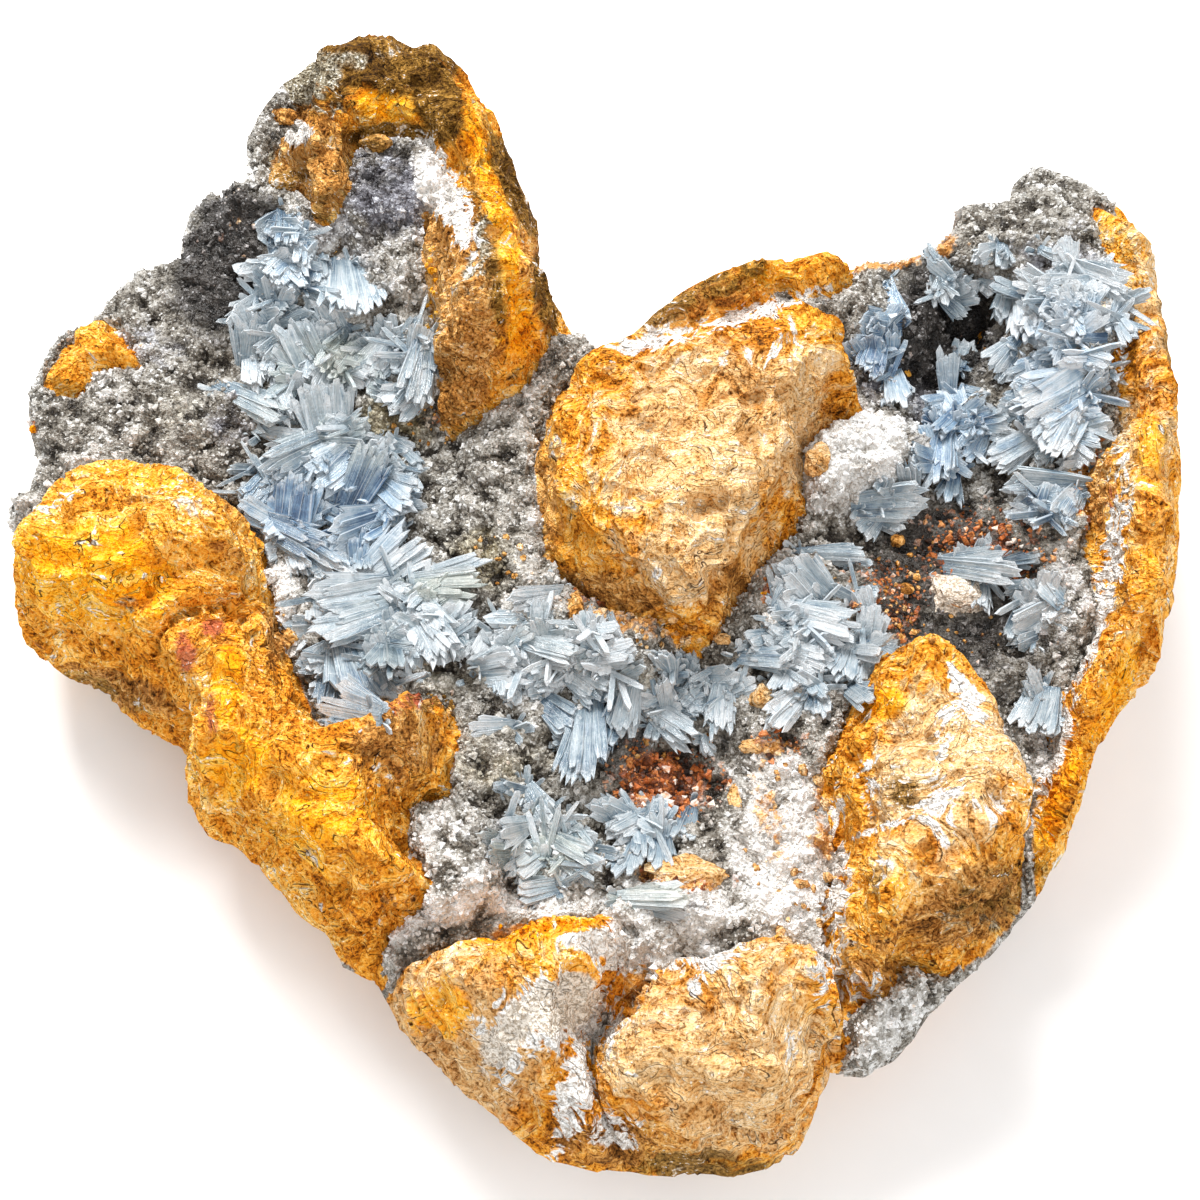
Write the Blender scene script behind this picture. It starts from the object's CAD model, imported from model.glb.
import math

import bmesh
import bpy
import numpy as np
from mathutils import Matrix, Vector, noise
from mathutils.bvhtree import BVHTree


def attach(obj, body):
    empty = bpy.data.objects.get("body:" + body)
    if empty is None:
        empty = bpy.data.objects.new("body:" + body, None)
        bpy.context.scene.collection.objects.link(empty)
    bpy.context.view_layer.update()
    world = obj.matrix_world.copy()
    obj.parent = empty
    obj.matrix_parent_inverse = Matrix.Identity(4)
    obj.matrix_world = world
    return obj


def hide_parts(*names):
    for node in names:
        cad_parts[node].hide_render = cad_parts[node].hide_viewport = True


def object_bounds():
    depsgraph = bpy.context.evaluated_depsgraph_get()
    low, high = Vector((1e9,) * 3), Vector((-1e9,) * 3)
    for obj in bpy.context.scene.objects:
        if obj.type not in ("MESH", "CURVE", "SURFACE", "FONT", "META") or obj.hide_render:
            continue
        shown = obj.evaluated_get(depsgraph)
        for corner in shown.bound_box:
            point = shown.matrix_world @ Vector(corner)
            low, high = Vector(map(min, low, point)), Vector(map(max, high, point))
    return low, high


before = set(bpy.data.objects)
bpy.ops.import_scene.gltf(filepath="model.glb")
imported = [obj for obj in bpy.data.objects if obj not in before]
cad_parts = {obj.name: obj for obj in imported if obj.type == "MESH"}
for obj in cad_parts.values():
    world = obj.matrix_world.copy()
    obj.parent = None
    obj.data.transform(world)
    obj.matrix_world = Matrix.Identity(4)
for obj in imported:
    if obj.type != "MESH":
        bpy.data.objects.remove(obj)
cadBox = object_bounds()
mm = 0.001
print("blue barite: frame loaded, nodes:", len(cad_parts))

# The forms are named by the spot (u, v) where they show in a 1200 x 1200 picture taken from the eye,
# and by the height (mm) at which that spot lies.
picture = {
    "eye": (0.0022, -0.2935, 0.496),
    "pitch": math.radians(59.0),
    "middle": 600.0,
    "reach": 1500.0,  # picture points from the eye to the picture
}
eye = Vector(picture["eye"])
ahead = Vector((0.0, math.cos(picture["pitch"]), -math.sin(picture["pitch"])))
upward = Vector((0.0, math.sin(picture["pitch"]), math.cos(picture["pitch"])))


def place(u, v, height):
    # the spot seen at (u, v) where it lies at this height, in metres
    aside = (np.asarray(u, float) - picture["middle"]) / picture["reach"]
    above = (picture["middle"] - np.asarray(v, float)) / picture["reach"]
    along = (eye.z - height) / (-ahead.z - above * upward.z)
    return eye.x + aside * along, eye.y + along * (ahead.y + above * upward.y)


def seenAt(points):
    # where points (rows of x, y, z) show in the picture
    away = points - np.array(eye)
    depth = away @ np.array(ahead)
    u = picture["middle"] + picture["reach"] * away[:, 0] / depth
    v = picture["middle"] - picture["reach"] * (away @ np.array(upward)) / depth
    return u, v


ground = {
    "reach": 0.225,
    "step": 0.0030,
    "edgeRound": 0.022,
    "underRound": 0.030,
    "underPower": 1.7,
    "baseLevel": 0.0006,
    "knobCrown": 0.004,
    "crownReach": 0.035,
    "floorBlend": 0.008,
    "bareBlend": 0.004,
    "lumps": 0.022,
    "rockRough": 0.0044,
    "hollowRough": 0.0024,
    "seed": 7,
    "crust": 0.0032,
}

rim = [
    (92, [(247, 178), (245, 140), (262, 108), (285, 80), (310, 62), (345, 52), (372, 42), (405, 47),
          (437, 52)]),
    (74, [(472, 95), (498, 130), (518, 175)]),
    (60, [(537, 225), (540, 270), (552, 305), (572, 335)]),
    (70, [(600, 348), (632, 335), (655, 308), (700, 280), (740, 263), (790, 258), (822, 252), (848, 268)]),
    (72, [(875, 262), (900, 258), (925, 252), (950, 235)]),
    (84, [(958, 205), (1010, 200), (1012, 185), (1035, 163), (1062, 172), (1105, 195), (1125, 212)]),
    (78, [(1140, 240), (1156, 272), (1164, 325), (1174, 370), (1180, 420), (1180, 540)]),
    (66, [(1164, 640), (1160, 668)]),
    (38, [(1130, 700), (1090, 760), (1078, 805), (1065, 850), (1035, 905), (985, 960), (935, 1010),
          (895, 1060)]),
    (35, [(860, 1078), (832, 1070), (815, 1110), (800, 1145), (770, 1170), (720, 1177), (600, 1170),
          (545, 1163)]),
    (35, [(520, 1140), (480, 1105), (450, 1080), (415, 1050), (390, 1010), (372, 978), (345, 968),
          (328, 935)]),
    (37, [(300, 915), (270, 880), (240, 845), (205, 835), (185, 800), (187, 760), (170, 740), (135, 725)]),
    (40, [(105, 690), (60, 670), (25, 645), (15, 600), (15, 560), (18, 525)]),
    (60, [(28, 490), (38, 460), (30, 430), (28, 400), (38, 370), (55, 340), (100, 318), (115, 300),
          (140, 280)]),
    (70, [(180, 262), (183, 235), (190, 210), (215, 195), (240, 210)]),
]

# knobs of bare rock: height of the top, width of the rounded shoulder (mm) and the outline
knobs = {
    "left": (96, 14, [
        (86, [(18, 510), (44, 467), (95, 447), (152, 442), (210, 462), (246, 498)]),
        (60, [(262, 555), (270, 588), (235, 604), (192, 622), (150, 660)]),
        (40, [(108, 696), (60, 678), (20, 650), (8, 600)])]),
    "lowerLeft": (90, 13, [
        (72, [(155, 666), (196, 627), (268, 598)]),
        (80, [(274, 628), (292, 674), (325, 708), (380, 690), (428, 662), (446, 674)]),
        (60, [(454, 722), (446, 785), (408, 800), (402, 845), (430, 886), (385, 920)]),
        (36, [(375, 980), (325, 940), (268, 884), (203, 842), (182, 800), (184, 760), (133, 730),
              (112, 696)])]),
    "frontLeft": (82, 12, [
        (75, [(374, 962), (398, 938), (470, 919), (540, 897), (598, 892)]),
        (48, [(634, 935), (618, 985), (588, 1030), (590, 1090)]),
        (34, [(620, 1170), (543, 1168), (476, 1110), (410, 1054)])]),
    "front": (84, 13, [
        (76, [(648, 952), (700, 930), (760, 912), (812, 920)]),
        (50, [(840, 970), (848, 1030)]),
        (34, [(834, 1078), (804, 1150), (722, 1182), (636, 1172)]),
        (48, [(600, 1110), (592, 1050), (620, 1018)])]),
    "rightFront": (93, 13, [
        (86, [(888, 618), (938, 612), (982, 640)]),
        (70, [(1006, 700), (1020, 760), (1040, 805), (1042, 850)]),
        (45, [(1020, 905), (985, 945), (945, 968), (905, 962), (880, 1000), (850, 1010)]),
        (55, [(838, 965), (830, 900), (845, 850), (830, 800), (822, 770)]),
        (65, [(846, 728), (864, 680)])]),
    "rightRim": (104, 10, [
        (92, [(1100, 192), (1128, 208)]),
        (58, [(1148, 238), (1174, 325), (1188, 420), (1188, 540), (1168, 670)]),
        (40, [(1096, 762), (1084, 806), (1042, 892)]),
        (60, [(1050, 820), (1048, 770), (1066, 745), (1060, 700), (1092, 650)]),
        (88, [(1128, 590), (1112, 520), (1104, 440), (1142, 402), (1120, 345), (1142, 305),
              (1105, 240)])]),
    "middle": (96, 12, [
        (88, [(604, 342), (660, 326), (720, 310), (772, 294), (816, 294)]),
        (75, [(852, 334), (858, 375), (875, 402)]),
        (64, [(832, 420), (800, 450), (806, 495), (770, 548), (742, 578), (712, 628), (690, 640)]),
        (62, [(655, 622), (610, 604), (572, 575), (545, 540), (538, 470), (560, 400)])]),
    "backRidge": (88, 7, [
        (72, [(598, 340), (632, 330), (655, 302), (700, 274), (740, 257), (790, 252), (822, 246),
              (852, 264)]),
        (72, [(852, 284), (826, 300), (782, 292), (742, 312), (700, 322), (660, 334)])]),
    "leftLobe": (109, 13, [
        (90, [(282, 80), (345, 46), (405, 40), (442, 48)]),
        (53, [(480, 95), (506, 130), (546, 225), (548, 270), (575, 335)]),
        (60, [(550, 360), (520, 400), (458, 428)]),
        (70, [(440, 400), (437, 330), (428, 285), (431, 248)]),
        (84, [(452, 226), (452, 196), (430, 160), (384, 150)]),
        (85, [(352, 160), (350, 196), (334, 222), (318, 218), (304, 198), (276, 190), (270, 164),
              (296, 144), (300, 112)])]),
    "leftSaddle": (82, 9, [
        (68, [(150, 580), (215, 560), (258, 572), (266, 600)]),
        (62, [(240, 640), (200, 690), (160, 722)]),
        (44, [(112, 694), (96, 650)])]),
    "farLeft": (78, 6, [
        (70, [(40, 372), (60, 338), (104, 316), (130, 345), (133, 362), (90, 366), (75, 384),
              (50, 384)])]),
}

# low mounds of the hollow's floor
mounds = {
    "grey": (70, 6, [
        (66, [(790, 440), (800, 422), (850, 414), (880, 408), (905, 430)]),
        (54, [(912, 480), (895, 492), (850, 508), (830, 524), (800, 520), (806, 495)])]),
    "whiteSlab": (52, 5, [
        (46, [(600, 905), (640, 880), (700, 880), (722, 905)]),
        (42, [(718, 935), (680, 950), (640, 972), (615, 960), (590, 940)])]),
    "buttons": (62, 7, [
        (56, [(402, 800), (450, 795), (500, 815), (505, 850), (500, 900), (440, 920), (400, 900),
              (395, 845)])]),
    "cornerLump": (62, 8, [
        (52, [(850, 1008), (905, 962), (950, 975)]),
        (38, [(935, 1012), (898, 1064), (860, 1082), (835, 1072)])]),
}

# heights of the hollow's floor
floorSpots = [
    (100, 430, 64), (60, 400, 66), (150, 360, 66), (200, 240, 74), (230, 310, 70), (262, 190, 88),
    (300, 240, 84), (390, 185, 94), (400, 260, 84), (340, 290, 72), (300, 350, 66), (430, 330, 70),
    (380, 380, 60), (230, 400, 62), (330, 420, 54), (250, 490, 52), (350, 510, 46), (400, 560, 46),
    (300, 590, 50), (340, 640, 48), (330, 700, 46), (440, 480, 50), (450, 620, 50), (540, 620, 58),
    (500, 690, 48), (560, 700, 46), (620, 720, 40), (700, 700, 42), (650, 640, 64), (600, 640, 62),
    (720, 650, 56), (680, 780, 33), (560, 790, 40), (470, 760, 52), (430, 860, 50), (560, 860, 42),
    (640, 840, 40), (720, 880, 44), (780, 820, 48), (700, 940, 42), (800, 720, 50), (840, 740, 54),
    (800, 900, 46), (780, 600, 58), (840, 600, 52), (850, 660, 50), (860, 460, 58), (900, 560, 44),
    (960, 620, 40), (1010, 640, 42), (1020, 720, 44), (1040, 790, 46), (930, 400, 44), (960, 340, 50),
    (900, 320, 62), (870, 380, 56), (1000, 400, 60), (1060, 420, 70), (1090, 350, 82), (1080, 290, 88),
    (1040, 230, 90), (1090, 500, 66), (1090, 590, 64), (1060, 680, 52), (970, 240, 84), (930, 280, 66),
    (880, 290, 72), (980, 500, 46), (700, 320, 74), (800, 296, 74), (520, 320, 70), (500, 460, 66),
    (600, 1000, 44), (950, 980, 44), (880, 1050, 40), (1040, 880, 40),
]


def ringOf(runs):
    corners = []
    for height, spots in runs:
        for u, v in spots:
            x, y = place(u, v, height * mm)
            corners.append((float(x), float(y), height * mm))
    return np.array(corners)


rimRing = ringOf(rim)
knobRings = {name: ringOf(runs) for name, (top, shoulder, runs) in knobs.items()}
moundRings = {name: ringOf(runs) for name, (top, shoulder, runs) in mounds.items()}
floorPoints = [(*place(u, v, height * mm), height * mm) for u, v, height in floorSpots]


def nearestOnRing(x, y, ring):
    # for each spot: how far it lies inside the ring (negative outside), and the nearest point of the ring
    best = np.full(x.shape, np.inf)
    near = np.zeros(x.shape + (3,))
    inside = np.zeros(x.shape, bool)
    for start, end in zip(ring, np.roll(ring, -1, axis=0)):
        run = end - start
        share = ((x - start[0]) * run[0] + (y - start[1]) * run[1]) / max(run[0] ** 2 + run[1] ** 2, 1e-12)
        share = np.clip(share, 0.0, 1.0)
        spot = start + share[..., None] * run
        away = np.hypot(x - spot[..., 0], y - spot[..., 1])
        closer = away < best
        best = np.where(closer, away, best)
        near = np.where(closer[..., None], spot, near)
        if start[1] != end[1]:
            crosses = (start[1] > y) != (end[1] > y)
            inside ^= crosses & (x < start[0] + (y - start[1]) * run[0] / run[1])
    return np.where(inside, best, -best), near


def roundRise(share, power=2.0):
    return 1.0 - (1.0 - np.clip(share, 0.0, 1.0)) ** power


def smoothRise(value, low, high):
    share = np.clip((value - low) / (high - low), 0.0, 1.0)
    return share * share * (3.0 - 2.0 * share)


def lumpiness(x, y, z, size, seed):
    # lumps of this size, between about -1 and 1
    lift = Vector((seed * 3.1, seed * 1.7, seed * 2.3))
    spots = zip(np.ravel(x), np.ravel(y), np.ravel(z))
    return np.array([noise.fractal(Vector(spot) / size + lift, 0.9, 2.0, 3) for spot in spots])


def bareDepth(x, y):
    # how far inside a knob of bare rock each spot lies; negative in the hollow
    return np.max([nearestOnRing(x, y, ring)[0] for ring in knobRings.values()], axis=0)


def topHeight(x, y):
    total = np.zeros(x.shape)
    weights = np.zeros(x.shape)
    for spotX, spotY, spotHeight in floorPoints:
        weight = 1.0 / ((x - spotX) ** 2 + (y - spotY) ** 2 + ground["floorBlend"] ** 2) ** 2
        total += weight * spotHeight
        weights += weight
    height = total / weights
    for forms, rings in ((mounds, moundRings), (knobs, knobRings)):
        for name, ring in rings.items():
            top, shoulder, runs = forms[name]
            depth = nearestOnRing(x, y, ring)[0]
            crown = ground["knobCrown"] * (roundRise(depth / ground["crownReach"]) - 1.0)
            rise = roundRise(depth / (shoulder * mm))
            height = np.maximum(height, height + (top * mm + crown - height) * rise)
    bare = np.clip(bareDepth(x, y) / ground["bareBlend"], 0.0, 1.0)
    rough = ground["hollowRough"] + (ground["rockRough"] - ground["hollowRough"]) * bare
    height = height + rough * lumpiness(x, y, height, ground["lumps"], ground["seed"])
    depth, near = nearestOnRing(x, y, rimRing)
    return near[..., 2] + (height - near[..., 2]) * roundRise(depth / ground["edgeRound"])


def underHeight(x, y):
    depth, near = nearestOnRing(x, y, rimRing)
    return near[..., 2] * (1.0 - roundRise(depth / ground["underRound"], ground["underPower"]))


def newObject(name, mesh):
    obj = bpy.data.objects.new(name, mesh)
    bpy.context.scene.collection.objects.link(obj)
    return obj


def objectFrom(name, bm):
    mesh = bpy.data.meshes.new(name)
    bm.to_mesh(mesh)
    bm.free()
    return newObject(name, mesh)


def settle(obj):
    # the modifiers' result becomes the object's own plain mesh
    bpy.context.view_layer.update()
    result = bpy.data.meshes.new_from_object(obj.evaluated_get(bpy.context.evaluated_depsgraph_get()))
    obj.modifiers.clear()
    obj.data = result
    result.name = obj.name
    return obj


def pointsOf(obj):
    flat = np.empty(len(obj.data.vertices) * 3, np.float32)
    obj.data.vertices.foreach_get("co", flat)
    return flat.reshape(-1, 3).astype(float)


def triangles(obj):
    return sum(len(face.vertices) - 2 for face in obj.data.polygons)


def setPoints(obj, points):
    obj.data.vertices.foreach_set("co", points.astype(np.float32).ravel())
    obj.data.update()


def mark(mesh, name, values, kind="FLOAT"):
    # a value for each point of the mesh, for the materials and the node trees
    layer = mesh.attributes.get(name) or mesh.attributes.new(name, kind, "POINT")
    field = "vector" if kind == "FLOAT_VECTOR" else "value"
    numbers = np.asarray(values, np.int32 if kind == "INT" else np.float32)
    layer.data.foreach_set(field, numbers.ravel())


def tone(red, green, blue):
    # a colour as it shows on screen, as the linear colour that the shaders take
    linear = [(c / 255 / 12.92) if c < 10.4 else ((c / 255 + 0.055) / 1.055) ** 2.4 for c in (red, green, blue)]
    return (*linear, 1.0)


class Value:
    # a socket that Python's operators work on
    def __init__(self, tree, socket):
        self.tree = tree
        self.socket = socket

    def __add__(self, other):
        return self.tree.maths("ADD", self, other)

    def __radd__(self, other):
        return self.tree.maths("ADD", other, self)

    def __sub__(self, other):
        return self.tree.maths("SUBTRACT", self, other)

    def __rsub__(self, other):
        return self.tree.maths("SUBTRACT", other, self)

    def __mul__(self, other):
        return self.tree.maths("MULTIPLY", self, other)

    def __rmul__(self, other):
        return self.tree.maths("MULTIPLY", other, self)

    def __truediv__(self, other):
        return self.tree.maths("DIVIDE", self, other)

    def __rtruediv__(self, other):
        return self.tree.maths("DIVIDE", other, self)

    def __pow__(self, other):
        return self.tree.maths("POWER", self, other)


class Tree:
    # adds nodes to a shader or a geometry tree
    def __init__(self, nodeTree):
        self.nodeTree = nodeTree

    def add(self, kind, settings=None, sockets=None, out=0):
        node = self.nodeTree.nodes.new(kind)
        for name, setting in (settings or {}).items():
            if name == "stops":
                self.setStops(node.color_ramp, setting)
            else:
                setattr(node, name, setting)
        for name, value in (sockets or {}).items():
            if isinstance(value, Value):
                self.nodeTree.links.new(value.socket, node.inputs[name])
            else:
                node.inputs[name].default_value = value
        return Value(self, node.outputs[out]) if node.outputs else node

    def setStops(self, ramp, stops):
        while len(ramp.elements) < len(stops):
            ramp.elements.new(1.0)
        for element, (position, colour) in zip(ramp.elements, stops):
            element.position = position
            element.color = colour

    def other(self, value, out):
        # another output of the node that made this value
        return Value(self, value.socket.node.outputs[out])

    def maths(self, operation, first, second=0.0):
        return self.add("ShaderNodeMath", {"operation": operation}, {0: first, 1: second})

    def vector(self, operation, first, second, out=0):
        return self.add("ShaderNodeVectorMath", {"operation": operation}, {0: first, 1: second}, out)

    def scaled(self, vector, factor):
        return self.add("ShaderNodeVectorMath", {"operation": "SCALE"}, {0: vector, "Scale": factor})

    def rise(self, value, low, high):
        settings = {"interpolation_type": "SMOOTHSTEP"}
        return self.add("ShaderNodeMapRange", settings, {"Value": value, "From Min": low, "From Max": high})

    def mix(self, factor, first, second, blend="MIX"):
        settings = {"data_type": "RGBA", "blend_type": blend}
        return self.add("ShaderNodeMix", settings, {0: factor, 6: first, 7: second}, out=2)

    def grain(self, where, scale, detail=4.0, rough=0.55, twist=0.0, out=0):
        sockets = {"Vector": where, "Scale": scale, "Detail": detail, "Roughness": rough, "Distortion": twist}
        return self.add("ShaderNodeTexNoise", None, sockets, out)

    def cells(self, where, scale, feature="F1", jitter=1.0, out=0):
        sockets = {"Vector": where, "Scale": scale, "Randomness": jitter}
        return self.add("ShaderNodeTexVoronoi", {"feature": feature}, sockets, out)

    def ramp(self, value, stops):
        return self.add("ShaderNodeValToRGB", {"stops": stops}, {"Fac": value})

    def facets(self, where, size, twist=0.8):
        # the height of chips that each lean their own way and meet in shallow grooves
        centred = self.vector("SUBTRACT", self.grain(where, 0.6 / size, 2.0, out=1), (0.5, 0.5, 0.5))
        bent = self.vector("ADD", where, self.scaled(centred, size * twist))
        cell = self.cells(bent, 1.0 / size)
        lean = self.vector("SUBTRACT", self.other(cell, "Color"), (0.5, 0.5, 0.5))
        away = self.vector("SUBTRACT", bent, self.other(cell, "Position"))
        border = self.cells(bent, 1.0 / size, "DISTANCE_TO_EDGE")
        return self.vector("DOT_PRODUCT", away, lean, out="Value") * self.rise(border, -0.06, 0.22)


class Finish(Tree):
    # one material: a Principled shader and what feeds it
    def __init__(self, name):
        self.material = bpy.data.materials.new(name)
        self.material.use_nodes = True
        super().__init__(self.material.node_tree)
        self.shader = self.nodeTree.nodes["Principled BSDF"]
        self.where = self.add("ShaderNodeTexCoord", out="Object")

    def field(self, name, out="Fac"):
        return self.add("ShaderNodeAttribute", {"attribute_name": name}, out=out)

    def feed(self, **sockets):
        for name, value in sockets.items():
            socket = self.shader.inputs[name.replace("_", " ")]
            if isinstance(value, Value):
                self.nodeTree.links.new(value.socket, socket)
            else:
                socket.default_value = value

    def bump(self, *layers):
        # layers of (height, depth in metres), coarse first
        normal = None
        for height, depth in layers:
            sockets = {"Height": height, "Distance": depth, "Strength": 1.0}
            if normal:
                sockets["Normal"] = normal
            normal = self.add("ShaderNodeBump", None, sockets)
        self.feed(Normal=normal)


class Shaper(Tree):
    # one Geometry Nodes tree, with named inputs
    def __init__(self, name, inputs):
        self.group = bpy.data.node_groups.new(name, "GeometryNodeTree")
        super().__init__(self.group)
        self.group.interface.new_socket("Geometry", in_out="INPUT", socket_type="NodeSocketGeometry")
        for label, kind in inputs.items():
            self.group.interface.new_socket(label, in_out="INPUT", socket_type="NodeSocket" + kind)
        self.group.interface.new_socket("Geometry", in_out="OUTPUT", socket_type="NodeSocketGeometry")
        self.entry = self.group.nodes.new("NodeGroupInput")
        self.end = self.group.nodes.new("NodeGroupOutput")

    def input(self, label):
        return Value(self, self.entry.outputs[label])

    def field(self, name, kind="FLOAT"):
        return self.add("GeometryNodeInputNamedAttribute", {"data_type": kind}, {"Name": name})

    def store(self, geometry, name, value, kind="FLOAT", domain="POINT"):
        sockets = {"Geometry": geometry, "Name": name, "Value": value}
        return self.add("GeometryNodeStoreNamedAttribute", {"data_type": kind, "domain": domain}, sockets)

    def chance(self, low, high, seed):
        sockets = {2: low, 3: high, "Seed": seed}
        return self.add("FunctionNodeRandomValue", {"data_type": "FLOAT"}, sockets, out=1)

    def finishWith(self, geometry):
        real = self.add("GeometryNodeRealizeInstances", None, {"Geometry": geometry})
        dressed = self.add("GeometryNodeSetMaterial", None, {"Geometry": real, "Material": self.input("Material")})
        self.nodeTree.links.new(dressed.socket, self.end.inputs["Geometry"])

    def run(self, obj, **values):
        modifier = obj.modifiers.new(self.group.name, "NODES")
        modifier.node_group = self.group
        for item in self.group.interface.items_tree:
            if item.in_out == "INPUT" and item.name in values:
                modifier[item.identifier] = values[item.name]
        return settle(obj)


def patchAmount(u, v, patches):
    # how much of a finish lies at (u, v): each patch is a middle, a reach each way, a turn and an amount
    most = np.zeros(u.shape)
    for (midU, midV), (reachU, reachV), turn, amount in patches:
        cos, sin = math.cos(math.radians(turn)), math.sin(math.radians(turn))
        along = ((u - midU) * cos + (v - midV) * sin) / reachU
        beside = ((v - midV) * cos - (u - midU) * sin) / reachV
        here = amount * np.clip(1.6 - np.hypot(along, beside), 0.0, 1.0)
        most = np.where(abs(here) > abs(most), here, most)
    return most


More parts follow.
